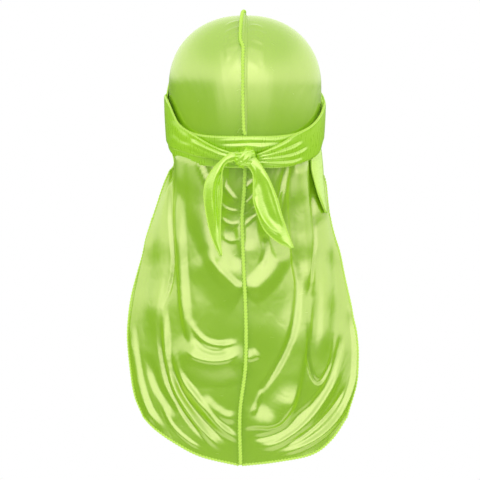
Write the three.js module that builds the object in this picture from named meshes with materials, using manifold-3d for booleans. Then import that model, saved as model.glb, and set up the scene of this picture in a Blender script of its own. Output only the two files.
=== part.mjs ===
// A long-tailed satin durag, tied at the nape, in the form that it takes on a head.
// Millimetres, +Z up, +Y towards the wearer's face, +X to the wearer's right.
// The origin is where the top of the head touches the inside of the crown.
//
// Two mirrored panels, each cut in one from the forehead over the crown to the tail, meet in a
// raised centre seam. A strap starts at each temple, passes round the nape, crosses its twin on
// the forehead and comes back to the knot, which holds the tail in and lets two tie ends hang.

import * as THREE from 'three';
import { mergeVertices } from 'three/addons/utils/BufferGeometryUtils.js';
import Module from 'manifold-3d';

const wasm = await Module();
wasm.setup();

// Driving sizes

const HEAD = {
  halfBreadth: 75.5, // middle to the side of the head
  front: 94, // middle to the forehead
  back: 96, // middle to the back of the head
  top: 71, // widest level to the crown
  below: 200, // widest level to where the lower half would close
  roundness: 2.15, // 2 is an ellipsoid, more is squarer
};
const PANEL_WALL = 1; // thickness of the satin panels
const STRAP_WALL = 1; // thickness of the straps and tie ends
const CROWN_GAP = 0.7; // air between the crown and the first strap on it
const LAYER_GAP = 0.35; // air between straps that lie on each other
const SEAM_GAP = 0.3; // air between a panel's edge and the seam
const KNOT_GAP = 0.35; // air between the knot and the cloths that run into it

const SEAM = {
  wall: 1.8, // the two seam allowances sewn together
  neck: 0.5, // straight part above the panels, before the seam leans
  flat: 0.2, // height over the panels where a strap presses on it
  tallest: 5, // height over its neck on top of the head
  clear: 8, // length beside a strap over which it still lies flat
  release: 16, // length beside a strap at which it stands up
};
const BROW_LEVEL = 86; // origin down to the front hem
const NAPE_LEVEL = 157; // origin down to where the tail leaves the head
const TAIL = {
  halfWidth: 116, // middle to the widest side of the tail
  drop: 284, // nape level down to the lowest point of the hem
};
const FOLD = {
  rise: 6.5, // height of a main fold
  width: 16, // crest of a main fold to where it dies out
  opening: 26, // length below the nape over which the folds open
  fadeIn: 0.2, // share of its length over which a fold rises
  fadeOut: 0.25, // share of its length over which it dies out
};
const STRAP_WIDTH = 48; // strap where it lies widest beside the head
const KNOT = {
  halfWidth: 10.5,
  halfDepth: 8,
  halfHeight: 8.5,
  swell: 0.6, // height of the turns of cloth round it
  turns: { across: 3.3, down: 4.5 }, // how fast the turns follow each other, in radians
  lift: 4, // how far the straps leave the head to run into it
};
const TIE_END = {
  left: { length: 93, width: 16 },
  right: { length: 92, width: 22 },
  cup: 0.35, // depth of the lengthwise hollow in half widths
};

// Tables: each holds shares of the sizes above

// The panel's side edge, from the temple to behind the ear: turn is in degrees from the nape.
const SIDE_EDGE = [
  { along: 0, turn: 132, level: 0.59 },
  { along: 0.35, turn: 112, level: 0.71 },
  { along: 0.7, turn: 94, level: 0.85 },
  { along: 1, turn: 80, level: 0.93 },
];
// The tail's free side edges: out in half widths, down in drops, fore in head backs.
const TAIL_EDGE = {
  left: [
    { down: 0.03, out: 0.67, fore: 0.25 },
    { down: 0.14, out: 0.76, fore: 0.28 },
    { down: 0.28, out: 0.866, fore: 0.32 },
    { down: 0.42, out: 0.965, fore: 0.36 },
    { down: 0.56, out: 1, fore: 0.41 },
    { down: 0.7, out: 0.97, fore: 0.47 },
    { down: 0.78, out: 0.93, fore: 0.52 },
    { down: 0.845, out: 0.86, fore: 0.57 },
  ],
  right: [
    { down: 0.03, out: 0.685, fore: 0.25 },
    { down: 0.14, out: 0.69, fore: 0.28 },
    { down: 0.28, out: 0.79, fore: 0.32 },
    { down: 0.42, out: 0.865, fore: 0.36 },
    { down: 0.56, out: 0.935, fore: 0.41 },
    { down: 0.7, out: 0.945, fore: 0.47 },
    { down: 0.78, out: 0.915, fore: 0.52 },
    { down: 0.845, out: 0.865, fore: 0.57 },
  ],
};
// The bottom hem, from the seam to the corner, in the same shares.
const BOTTOM_HEM = {
  left: [
    { down: 1, out: 0.04 },
    { down: 0.97, out: 0.36 },
    { down: 0.928, out: 0.575 },
    { down: 0.886, out: 0.745 },
    { down: 0.845, out: 0.86 },
  ],
  right: [
    { down: 1, out: -0.04 },
    { down: 0.988, out: 0.25 },
    { down: 0.966, out: 0.55 },
    { down: 0.92, out: 0.72 },
    { down: 0.845, out: 0.865 },
  ],
};
// The seam down the tail: side is in half widths, fore in head backs.
const TAIL_SEAM = [
  { down: 0, side: 0, fore: 0 },
  { down: 0.07, side: -0.03, fore: 0.88 },
  { down: 0.25, side: -0.02, fore: 0.9 },
  { down: 0.5, side: 0.005, fore: 0.9 },
  { down: 0.66, side: 0, fore: 0.87 },
  { down: 0.82, side: -0.045, fore: 0.84 },
  { down: 1, side: -0.04, fore: 0.8 },
];
// The seam's height and lean over the crown, in tallest heights, from the brow, 0, to the nape.
const SEAM_RIDGE = [
  { over: 0, height: 0.45, lean: 0 },
  { over: 0.2, height: 0.5, lean: -0.1 },
  { over: 0.35, height: 0.85, lean: -0.15 },
  { over: 0.45, height: 1, lean: -0.1 },
  { over: 0.58, height: 0.85, lean: -0.4 },
  { over: 0.66, height: 0.7, lean: -0.35 },
  { over: 0.73, height: 0.45, lean: -0.1 },
  { over: 1, height: 0.45, lean: 0 },
];
// The tail's folds: a ridge, or a valley where rise is negative, through its top, middle and foot.
// x is in half widths, d in drops, rise and width in main folds.
const FOLDS = [
  { x0: -0.53, d0: -0.06, x1: -0.62, d1: 0.21, x2: -0.775, d2: 0.59, rise: 0.9, width: 1 },
  { x0: -0.48, d0: -0.03, x1: -0.51, d1: 0.23, x2: -0.375, d2: 0.5, rise: 1, width: 0.95 },
  { x0: -0.49, d0: 0.54, x1: -0.29, d1: 0.645, x2: 0.02, d2: 0.615, rise: 0.95, width: 1.1 },
  { x0: -0.42, d0: 0.06, x1: -0.225, d1: 0.295, x2: 0.01, d2: 0.425, rise: 1, width: 0.95 },
  { x0: -0.33, d0: 0.14, x1: -0.25, d1: 0.38, x2: -0.11, d2: 0.55, rise: -0.7, width: 0.95 },
  { x0: -0.67, d0: 0.415, x1: -0.56, d1: 0.725, x2: -0.11, d2: 0.95, rise: 1, width: 1.1 },
  { x0: -0.91, d0: 0.52, x1: -0.78, d1: 0.76, x2: -0.46, d2: 0.915, rise: 0.6, width: 0.9 },
  { x0: 0.39, d0: 0.07, x1: 0.27, d1: 0.3, x2: 0.025, d2: 0.425, rise: 0.9, width: 0.95 },
  { x0: 0.44, d0: -0.05, x1: 0.4, d1: 0.4, x2: 0.11, d2: 0.81, rise: 1.15, width: 1.2 },
  { x0: 0.5, d0: 0.1, x1: 0.51, d1: 0.43, x2: 0.4, d2: 0.77, rise: -0.7, width: 0.9 },
  { x0: 0.55, d0: 0.05, x1: 0.62, d1: 0.38, x2: 0.56, d2: 0.68, rise: 0.9, width: 0.95 },
  { x0: 0.72, d0: 0.29, x1: 0.81, d1: 0.5, x2: 0.75, d2: 0.71, rise: 0.7, width: 0.9 },
  { x0: 0.8, d0: 0.54, x1: 0.61, d1: 0.785, x2: 0.04, d2: 0.94, rise: 0.9, width: 1.05 },
];
// A strap's way round, by its travel in degrees: -126 at its temple, 0 at the nape, 90 on the far
// side, 180 on the forehead, 270 on its own side again. Its middle is in nape levels, its width
// in strap widths.
const FIRST_PASS = [
  { travel: -126, middle: 0.53, width: 0.52 },
  { travel: -90, middle: 0.665, width: 0.72 },
  { travel: -60, middle: 0.77, width: 0.72 },
  { travel: -30, middle: 0.845, width: 0.59 },
  { travel: 0, middle: 0.862, width: 0.6 },
  { travel: 30, middle: 0.845, width: 0.59 },
  { travel: 60, middle: 0.77, width: 0.72 },
  { travel: 90, middle: 0.665, width: 0.72 },
];
const STRAPS = {
  left: {
    mirror: 1,
    rows: [
      ...FIRST_PASS,
      { travel: 130, middle: 0.49, width: 0.72 },
      { travel: 155, middle: 0.455, width: 0.56 },
      { travel: 180, middle: 0.452, width: 0.44 },
      { travel: 205, middle: 0.462, width: 0.54 },
      { travel: 235, middle: 0.56, width: 0.75 },
      { travel: 250, middle: 0.6, width: 0.8 },
      { travel: 270, middle: 0.64, width: 0.86 },
      { travel: 285, middle: 0.655, width: 0.95 },
      { travel: 300, middle: 0.7, width: 0.88 },
      { travel: 315, middle: 0.771, width: 0.53 },
      { travel: 330, middle: 0.819, width: 0.4 },
      { travel: 342, middle: 0.857, width: 0.25 },
      { travel: 354, middle: 0.895, width: 0.17 },
    ],
  },
  right: {
    mirror: -1,
    rows: [
      ...FIRST_PASS,
      { travel: 125, middle: 0.41, width: 0.72 },
      { travel: 150, middle: 0.305, width: 0.46 },
      { travel: 180, middle: 0.3, width: 0.46 },
      { travel: 205, middle: 0.36, width: 0.59 },
      { travel: 235, middle: 0.55, width: 0.8 },
      { travel: 250, middle: 0.6, width: 0.75 },
      { travel: 270, middle: 0.66, width: 0.7 },
      { travel: 285, middle: 0.672, width: 0.74 },
      { travel: 300, middle: 0.749, width: 0.78 },
      { travel: 315, middle: 0.802, width: 0.67 },
      { travel: 330, middle: 0.847, width: 0.6 },
      { travel: 342, middle: 0.882, width: 0.44 },
      { travel: 354, middle: 0.91, width: 0.23 },
    ],
  },
};
// How many cloths of strap lie under each strap before and after it rises on the forehead.
const LAYERS = { left: { before: 0, after: 2 }, right: { before: 1, after: 2 } };
const TRAVEL = { start: -126, risesFrom: 150, risesTo: 215, leavesFrom: 322, end: 354, step: 6 };
// The tie ends: across and down in lengths, half width in widths, proud in the knot's half depths.
const TIE_ENDS = {
  left: [
    { across: -0.06, down: -0.01, half: 0.28, proud: 0.3 },
    { across: -0.15, down: 0, half: 0.3, proud: 0.54 },
    { across: -0.28, down: 0.08, half: 0.39, proud: 0.6 },
    { across: -0.33, down: 0.25, half: 0.48, proud: 0.57 },
    { across: -0.34, down: 0.38, half: 0.53, proud: 0.54 },
    { across: -0.335, down: 0.54, half: 0.45, proud: 0.51 },
    { across: -0.315, down: 0.72, half: 0.3, proud: 0.48 },
    { across: -0.285, down: 0.87, half: 0.15, proud: 0.48 },
    { across: -0.255, down: 1, half: 0.05, proud: 0.48 },
  ],
  right: [
    { across: 0.03, down: 0.01, half: 0.17, proud: 0.36 },
    { across: 0.11, down: 0.1, half: 0.28, proud: 0.6 },
    { across: 0.17, down: 0.235, half: 0.33, proud: 0.6 },
    { across: 0.195, down: 0.375, half: 0.5, proud: 0.57 },
    { across: 0.23, down: 0.53, half: 0.55, proud: 0.54 },
    { across: 0.285, down: 0.71, half: 0.48, proud: 0.54 },
    { across: 0.37, down: 0.845, half: 0.24, proud: 0.51 },
    { across: 0.485, down: 0.935, half: 0.04, proud: 0.51 },
  ],
};

// How finely each surface is cut
const CUT = {
  crownRows: 14,
  tailRows: 28,
  panelColumns: 18,
  seamCrownRows: 40,
  seamTailRows: 24,
  strapColumns: 3,
  tieRows: 12,
  tieColumns: 4,
  knotSides: 16,
  knotRings: 11,
  foldSteps: 10,
};

// Numbers and curves

const lerp = THREE.MathUtils.lerp;
const smooth = (value, low, high) => THREE.MathUtils.smoothstep(value, low, high);
const radians = THREE.MathUtils.degToRad;

// A column of a table at a value of its key column, on a smooth curve through the rows.
function read(table, key, at, column) {
  const last = table.length - 1;
  let i = 0;
  while (i < last - 1 && at > table[i + 1][key]) i += 1;
  const from = table[i];
  const to = table[i + 1];
  const span = to[key] - from[key];
  const share = THREE.MathUtils.clamp((at - from[key]) / span, 0, 1);
  const slope = (a, b) => (b[column] - a[column]) / (b[key] - a[key]);
  const start = i > 0 ? slope(table[i - 1], to) : slope(from, to);
  const end = i < last - 1 ? slope(from, table[i + 2]) : slope(from, to);
  const square = share * share;
  const cube = square * share;
  return (
    from[column] * (2 * cube - 3 * square + 1) +
    to[column] * (3 * square - 2 * cube) +
    start * span * (cube - 2 * square + share) +
    end * span * (cube - square)
  );
}

// The head: a rounded form about a centre at the widest level

const power = (value) => Math.abs(value) ** HEAD.roundness;
const root = (value) => Math.max(value, 0) ** (1 / HEAD.roundness);
const reach = (point) => ({
  x: HEAD.halfBreadth,
  y: point.y > 0 ? HEAD.front : HEAD.back,
  z: point.z > 0 ? HEAD.top : HEAD.below,
});

// The form's outward normal at a point given from its centre.
function normalAt(point) {
  const r = reach(point);
  const side = (value, extent) =>
    (Math.sign(value) * Math.abs(value / extent) ** (HEAD.roundness - 1)) / extent;
  return new THREE.Vector3(
    side(point.x, r.x),
    side(point.y, r.y),
    side(point.z, r.z),
  ).normalize();
}

// The point of the form in a direction from its centre, given from the origin.
function onHead(direction) {
  const r = reach(direction);
  const size = root(power(direction.x / r.x) + power(direction.y / r.y) + power(direction.z / r.z));
  return direction.clone().divideScalar(size).setZ(direction.z / size - HEAD.top);
}

// The point of the form at a turn from the nape and a level under the origin, raised by a lift.
function roundHead(turn, level, lift) {
  const z = HEAD.top - level;
  const across = Math.sin(radians(turn));
  const back = Math.cos(radians(turn));
  const depth = back < 0 ? HEAD.front : HEAD.back;
  const section = root(1 - power(z / (z > 0 ? HEAD.top : HEAD.below)));
  const radius = section / root(power(across / HEAD.halfBreadth) + power(back / depth));
  const point = new THREE.Vector3(radius * across, -radius * back, z);
  const normal = normalAt(point);
  return point.addScaledVector(normal, lift).setZ(point.z - HEAD.top);
}

// Solids from grids of points

// The normals of a grid, as rows of vectors like the grid's own.
function normalsOf(grid) {
  return grid.map((row, i) =>
    row.map((_, j) => {
      const down = new THREE.Vector3().subVectors(
        grid[Math.min(i + 1, grid.length - 1)][j],
        grid[Math.max(i - 1, 0)][j],
      );
      const across = new THREE.Vector3().subVectors(
        row[Math.min(j + 1, row.length - 1)],
        row[Math.max(j - 1, 0)],
      );
      return down.cross(across).normalize();
    }),
  );
}

// A closed solid between two grids of the same size, its faces pointing out. Each cell is split
// along its shorter diagonal, so that slanting folds stay smooth.
function between(front, back) {
  const rows = front.length;
  const columns = front[0].length;
  const points = [...front.flat(), ...back.flat()];
  const positions = points.flatMap((p) => [p.x, p.y, p.z]);
  const at = (i, j, layer) => layer * rows * columns + i * columns + j;
  const faces = [];
  const quad = (a, b, c, d) => {
    const split = points[a].distanceTo(points[c]) < points[b].distanceTo(points[d]);
    faces.push(...(split ? [a, b, c, a, c, d] : [a, b, d, b, c, d]));
  };
  for (let i = 0; i < rows - 1; i += 1) {
    for (let j = 0; j < columns - 1; j += 1) {
      quad(at(i, j, 0), at(i + 1, j, 0), at(i + 1, j + 1, 0), at(i, j + 1, 0));
      quad(at(i, j, 1), at(i, j + 1, 1), at(i + 1, j + 1, 1), at(i + 1, j, 1));
    }
    quad(at(i, 0, 0), at(i, 0, 1), at(i + 1, 0, 1), at(i + 1, 0, 0));
    quad(at(i, columns - 1, 0), at(i + 1, columns - 1, 0), at(i + 1, columns - 1, 1), at(i, columns - 1, 1));
  }
  for (let j = 0; j < columns - 1; j += 1) {
    quad(at(0, j, 0), at(0, j + 1, 0), at(0, j + 1, 1), at(0, j, 1));
    quad(at(rows - 1, j, 0), at(rows - 1, j, 1), at(rows - 1, j + 1, 1), at(rows - 1, j + 1, 0));
  }
  return facingOut(positions, faces);
}

// A geometry whose triangles are turned round where they enclose a negative volume.
function facingOut(positions, faces) {
  const corner = (k) => new THREE.Vector3().fromArray(positions, 3 * faces[k]);
  let volume = 0;
  for (let k = 0; k < faces.length; k += 3) {
    volume += corner(k).dot(corner(k + 1).cross(corner(k + 2)));
  }
  const turned = volume < 0 ? faces.map((_, k) => faces[k - (k % 3) + 2 - (k % 3)]) : faces;
  const geometry = new THREE.BufferGeometry();
  geometry.setAttribute('position', new THREE.Float32BufferAttribute(positions, 3));
  geometry.setIndex(turned);
  return geometry;
}

// A wall of one thickness outside a grid.
function wall(grid, thickness, normals = normalsOf(grid)) {
  const outer = grid.map((row, i) =>
    row.map((point, j) => point.clone().addScaledVector(normals[i][j], thickness)),
  );
  return between(outer, grid);
}

// A geometry as a manifold solid.
function solidOf(geometry) {
  const bare = new THREE.BufferGeometry();
  bare.setAttribute('position', geometry.getAttribute('position'));
  bare.setIndex(geometry.getIndex());
  const merged = mergeVertices(bare, 1e-3);
  return new wasm.Manifold(
    new wasm.Mesh({
      numProp: 3,
      vertProperties: new Float32Array(merged.getAttribute('position').array),
      triVerts: new Uint32Array(merged.getIndex().array),
    }),
  );
}

// The largest piece of a geometry that is left outside a cutter.
function cutBy(geometry, cutter) {
  const pieces = solidOf(geometry).subtract(solidOf(cutter)).decompose();
  const kept = pieces.reduce((a, b) => (a.volume() > b.volume() ? a : b)).getMesh();
  const cut = new THREE.BufferGeometry();
  cut.setAttribute('position', new THREE.BufferAttribute(kept.vertProperties, 3));
  cut.setIndex(new THREE.BufferAttribute(kept.triVerts, 1));
  return cut;
}

// The panels: crown, then tail

const sideOf = { left: -1, right: 1 };
const halfSeam = SEAM.wall / 2 + SEAM_GAP;

// The direction of the centre line over the head: 0 at the brow, 1 at the nape.
function seamDirection(along) {
  const brow = roundHead(180, BROW_LEVEL, 0);
  const nape = roundHead(0, NAPE_LEVEL, 0);
  const angleOf = (p) => Math.atan2(p.z + HEAD.top, p.y);
  const from = angleOf(brow);
  const to = angleOf(nape) + 2 * Math.PI;
  const angle = lerp(from, to, along);
  return new THREE.Vector3(0, Math.cos(angle), Math.sin(angle));
}

// The direction of the panel's side edge over the head.
function edgeDirection(side, along) {
  const turn = read(SIDE_EDGE, 'along', along, 'turn');
  const level = read(SIDE_EDGE, 'along', along, 'level') * NAPE_LEVEL;
  const point = roundHead(side * turn, level, 0);
  return point.setZ(point.z + HEAD.top).normalize();
}

// A point of the crown's inside: along from the brow to the nape, out from the seam to the edge.
function crownPoint(side, along, out) {
  const from = seamDirection(along);
  const to = edgeDirection(side, along);
  const angle = from.angleTo(to);
  const direction = from
    .multiplyScalar(Math.sin((1 - out) * angle))
    .addScaledVector(to, Math.sin(out * angle))
    .normalize();
  const point = onHead(direction);
  return point.setX(point.x + side * halfSeam * (1 - out));
}

const tailPoint = (side, out, down, fore) =>
  new THREE.Vector3(side * out * TAIL.halfWidth, -fore * HEAD.back, -NAPE_LEVEL - down * TAIL.drop);

// The middle of the seam at a share of the way down the tail, without folds.
function tailSeam(down) {
  const nape = roundHead(0, NAPE_LEVEL, 0);
  const rows = TAIL_SEAM.map((row) => ({ ...row, fore: row.down ? row.fore : -nape.y / HEAD.back }));
  return tailPoint(1, read(rows, 'down', down, 'side'), down, read(rows, 'down', down, 'fore'));
}

// The tail's four edges, and the surface between them.
function tailEdge(name, along) {
  const side = sideOf[name];
  const start = crownPoint(side, 1, 1);
  const first = {
    down: (-start.z - NAPE_LEVEL) / TAIL.drop,
    out: Math.abs(start.x) / TAIL.halfWidth,
    fore: -start.y / HEAD.back,
  };
  const rows = [first, ...TAIL_EDGE[name]];
  const down = lerp(first.down, rows[rows.length - 1].down, along);
  return tailPoint(side, read(rows, 'down', down, 'out'), down, read(rows, 'down', down, 'fore'));
}

function bottomHem(name, out) {
  const side = sideOf[name];
  const rows = BOTTOM_HEM[name].map((row, i) => ({ ...row, step: i / (BOTTOM_HEM[name].length - 1) }));
  const edgeFore = TAIL_EDGE[name][TAIL_EDGE[name].length - 1].fore;
  const seamFore = TAIL_SEAM[TAIL_SEAM.length - 1].fore;
  const fore = lerp(seamFore, edgeFore, out * out);
  const point = tailPoint(side, read(rows, 'step', out, 'out'), read(rows, 'step', out, 'down'), fore);
  return point.setX(point.x + side * halfSeam * (1 - out));
}

function tailSurface(name, out, down) {
  const side = sideOf[name];
  const seam = (share) => {
    const point = tailSeam(share);
    return point.setX(point.x + side * halfSeam);
  };
  const sum = new THREE.Vector3();
  sum.addScaledVector(crownPoint(side, 1, out), 1 - down);
  sum.addScaledVector(bottomHem(name, out), down);
  sum.addScaledVector(seam(down), 1 - out);
  sum.addScaledVector(tailEdge(name, down), out);
  sum.addScaledVector(crownPoint(side, 1, 0), -(1 - out) * (1 - down));
  sum.addScaledVector(crownPoint(side, 1, 1), -out * (1 - down));
  sum.addScaledVector(bottomHem(name, 0), -(1 - out) * down);
  sum.addScaledVector(bottomHem(name, 1), -out * down);
  return sum;
}

// A fold's crest as points in millimetres: x across, y down from the nape.
function crestOf(fold) {
  const between = (first, middle, last, t) =>
    (1 - t) ** 2 * first + 2 * t * (1 - t) * (2 * middle - (first + last) / 2) + t * t * last;
  return Array.from({ length: CUT.foldSteps + 1 }, (_, k) => {
    const t = k / CUT.foldSteps;
    return new THREE.Vector2(
      between(fold.x0, fold.x1, fold.x2, t) * TAIL.halfWidth,
      between(fold.d0, fold.d1, fold.d2, t) * TAIL.drop,
    );
  });
}
const CRESTS = FOLDS.map((fold) => ({ fold, crest: crestOf(fold) }));

// How far the folds raise the tail at a point of its unfolded surface.
function foldRise(point) {
  const place = new THREE.Vector2(point.x, -point.z - NAPE_LEVEL);
  let rise = 0;
  for (const { fold, crest } of CRESTS) {
    let nearest = Infinity;
    let at = 0;
    for (let k = 0; k < CUT.foldSteps; k += 1) {
      const step = crest[k + 1].clone().sub(crest[k]);
      const away = place.clone().sub(crest[k]);
      const share = THREE.MathUtils.clamp(away.dot(step) / step.lengthSq(), 0, 1);
      const distance = away.addScaledVector(step, -share).length();
      if (distance < nearest) {
        nearest = distance;
        at = (k + share) / CUT.foldSteps;
      }
    }
    const width = fold.width * FOLD.width;
    if (nearest < width) {
      const profile = 0.5 + 0.5 * Math.cos((Math.PI * nearest) / width);
      const starts = smooth(at, -FOLD.fadeIn / 2, FOLD.fadeIn);
      const ends = smooth(1 - at, -FOLD.fadeOut / 2, FOLD.fadeOut);
      rise += fold.rise * FOLD.rise * profile * starts * ends;
    }
  }
  return rise * smooth(place.y, 0, FOLD.opening);
}

// A grid of the panel's inside, from the brow to the bottom hem and from the seam to the edge.
function panelGrid(name) {
  const side = sideOf[name];
  const shares = (count) => Array.from({ length: count + 1 }, (_, i) => i / count);
  const crown = shares(CUT.crownRows).map((along) =>
    shares(CUT.panelColumns).map((out) => crownPoint(side, along, out)),
  );
  const tail = shares(CUT.tailRows)
    .slice(1)
    .map((down) => shares(CUT.panelColumns).map((out) => tailSurface(name, out, down)));
  const grid = [...crown, ...tail];
  const outward = outwardNormals(grid, side);
  return grid.map((row, i) =>
    row.map((point, j) => point.clone().addScaledVector(outward[i][j], foldRise(point))),
  );
}

// Normals that point away from the head: the head's own over the crown, then the tail's, with none
// of the seam edge's leaning sideways.
function outwardNormals(grid, side) {
  return normalsOf(grid).map((row, i) =>
    row.map((normal, j) => {
      const point = grid[i][j];
      const crown = i < CUT.crownRows;
      const n = crown
        ? normalAt(new THREE.Vector3(point.x, point.y, point.z + HEAD.top))
        : normal.clone().multiplyScalar(side);
      return j === 0 ? n.setX(0).normalize() : n;
    }),
  );
}

function panel(name) {
  const grid = panelGrid(name);
  return wall(grid, PANEL_WALL, outwardNormals(grid, sideOf[name]));
}

// The centre seam: a ridge between the panels that stands out from them

// How far the straps let the seam rise at a level of the front or the back: 0 under a strap.
function freeOfStraps(level, travel) {
  const clear = Object.values(STRAPS).map((strap) => {
    const middle = read(strap.rows, 'travel', travel, 'middle') * NAPE_LEVEL;
    const half = (read(strap.rows, 'travel', travel, 'width') * STRAP_WIDTH) / 2;
    return Math.abs(level - middle) - half;
  });
  return smooth(Math.min(...clear), SEAM.clear, SEAM.release);
}

// The seam's middle line with what stands on it, from the brow over the crown and down the tail.
function seamLine() {
  const crown = Array.from({ length: CUT.seamCrownRows }, (_, i) => {
    const over = i / CUT.seamCrownRows;
    const point = onHead(seamDirection(over));
    const free = freeOfStraps(-point.z, point.y > 0 ? 180 : 0);
    const height = read(SEAM_RIDGE, 'over', over, 'height') * free;
    const lean = read(SEAM_RIDGE, 'over', over, 'lean') * free;
    return { point, height, lean, free };
  });
  const last = SEAM_RIDGE[SEAM_RIDGE.length - 1];
  const tail = Array.from({ length: CUT.seamTailRows + 1 }, (_, i) => {
    const down = i / CUT.seamTailRows;
    const point = tailSeam(down);
    const free = freeOfStraps(-point.z, 0);
    point.y -= foldRise(point);
    return { point, height: last.height * free, lean: last.lean * free, free };
  });
  return [...crown, ...tail];
}

function centreSeam() {
  const line = seamLine();
  const last = line.length - 1;
  const normals = line.map((_, i) => {
    const along = new THREE.Vector3().subVectors(
      line[Math.min(i + 1, last)].point,
      line[Math.max(i - 1, 0)].point,
    );
    return along.cross(new THREE.Vector3(1, 0, 0)).normalize();
  });
  const face = (side) =>
    line.map(({ point, height, lean, free }, i) => {
      const level = (rise, shift) =>
        point
          .clone()
          .addScaledVector(normals[i], rise)
          .add(new THREE.Vector3(shift + (side * SEAM.wall) / 2, 0, 0));
      const neck = lerp(0, SEAM.neck, free);
      const crest = SEAM.flat + neck + SEAM.tallest * Math.sqrt(height ** 2 - lean ** 2);
      return [level(0, 0), level(PANEL_WALL + neck, 0), level(PANEL_WALL + crest, lean * SEAM.tallest)];
    });
  return between(face(-1), face(1));
}

// The straps

// The inside of a strap that has this many straps under it.
const layerLift = (under) => PANEL_WALL + CROWN_GAP + under * (STRAP_WALL + LAYER_GAP);

// The points of a strap's inside, from its temple to the knot.
function strapGrid(name) {
  const { mirror, rows } = STRAPS[name];
  const { before, after } = LAYERS[name];
  const steps = Math.round((TRAVEL.end - TRAVEL.start) / TRAVEL.step);
  return Array.from({ length: steps + 1 }, (_, i) => {
    const travel = TRAVEL.start + i * TRAVEL.step;
    const under = lerp(before, after, smooth(travel, TRAVEL.risesFrom, TRAVEL.risesTo));
    const leaving = smooth(travel, TRAVEL.leavesFrom, TRAVEL.end) * KNOT.lift;
    const middle = read(rows, 'travel', travel, 'middle') * NAPE_LEVEL;
    const width = read(rows, 'travel', travel, 'width') * STRAP_WIDTH;
    return Array.from({ length: CUT.strapColumns + 1 }, (_, j) => {
      const level = middle + width * (j / CUT.strapColumns - 0.5);
      return roundHead(mirror * travel, level, layerLift(under) + leaving);
    });
  });
}

function strap(name, knotSpace) {
  const inwards = STRAPS[name].mirror;
  const grid = strapGrid(name);
  const normals = normalsOf(grid).map((row) => row.map((n) => n.multiplyScalar(-inwards)));
  return cutBy(wall(grid, STRAP_WALL, normals), knotSpace);
}

// The knot and the tie ends

// The knot sits where the two straps end.
function knotCentre() {
  const ends = Object.values(STRAPS).map(({ rows }) => rows[rows.length - 1].middle);
  const level = ((ends[0] + ends[1]) / 2) * NAPE_LEVEL;
  const seat = roundHead(0, level, layerLift(LAYERS.left.after));
  return new THREE.Vector3(0, seat.y - KNOT.halfDepth, -level);
}

// A rounded lump with slanting turns of cloth round it, grown by a gap.
function knot(grow) {
  const ball = new THREE.SphereGeometry(1, CUT.knotSides, CUT.knotRings);
  ball.deleteAttribute('normal');
  ball.deleteAttribute('uv');
  const lump = mergeVertices(ball, 1e-4);
  const position = lump.getAttribute('position');
  const centre = knotCentre();
  for (let i = 0; i < position.count; i += 1) {
    const p = new THREE.Vector3().fromBufferAttribute(position, i);
    const slant = Math.cos(KNOT.turns.across * p.x + KNOT.turns.down * p.z);
    const swell = KNOT.swell * slant * (1 - p.y * p.y) + grow;
    position.setXYZ(
      i,
      centre.x + p.x * (KNOT.halfWidth + swell),
      centre.y + p.y * (KNOT.halfDepth + swell),
      centre.z + p.z * (KNOT.halfHeight + swell),
    );
  }
  return lump;
}

// A tapering end with a hollow along its middle, cut clear of the knot.
function tieEnd(name, knotSpace) {
  const { length, width } = TIE_END[name];
  const centre = knotCentre();
  const table = TIE_ENDS[name].map((row, i, all) => ({ ...row, step: i / (all.length - 1) }));
  const curve = new THREE.CatmullRomCurve3(
    table.map(
      (row) =>
        new THREE.Vector3(
          centre.x + row.across * length,
          centre.y - row.proud * KNOT.halfDepth,
          centre.z - row.down * length,
        ),
    ),
  );
  const outwards = new THREE.Vector3(0, -1, 0);
  const grid = Array.from({ length: CUT.tieRows + 1 }, (_, i) => {
    const step = i / CUT.tieRows;
    const point = curve.getPoint(step);
    const across = outwards.clone().cross(curve.getTangent(step)).setY(0).normalize();
    const half = read(table, 'step', step, 'half') * width;
    return Array.from({ length: CUT.tieColumns + 1 }, (_, j) => {
      const share = (2 * j) / CUT.tieColumns - 1;
      const hollow = half * TIE_END.cup * (1 - Math.abs(share));
      return point.clone().addScaledVector(across, share * half).addScaledVector(outwards, -hollow);
    });
  });
  return cutBy(wall(grid, STRAP_WALL), knotSpace);
}

// The assembly

const satin = (tone) => new THREE.MeshStandardMaterial({ color: tone, roughness: 0.35, metalness: 0 });
const thread = new THREE.MeshStandardMaterial({ color: 0xb6e23c, roughness: 0.7, metalness: 0 });

const durag = new THREE.Group();
function add(name, geometry, material) {
  const mesh = new THREE.Mesh(geometry, material);
  mesh.name = name;
  durag.add(mesh);
}

const knotSpace = knot(KNOT_GAP);
add('panel_left', panel('left'), satin(0x9ccf3a));
add('panel_right', panel('right'), satin(0x9ccf3a));
add('centre_seam', centreSeam(), thread);
add('strap_left', strap('left', knotSpace), satin(0x9dd42f));
add('strap_right', strap('right', knotSpace), satin(0x9dd42f));
add('knot', knot(0), satin(0xa9dc3a));
add('tie_end_left', tieEnd('left', knotSpace), satin(0xb0e03f));
add('tie_end_right', tieEnd('right', knotSpace), satin(0xb0e03f));

export default durag;
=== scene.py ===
import math
from collections import namedtuple

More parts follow.
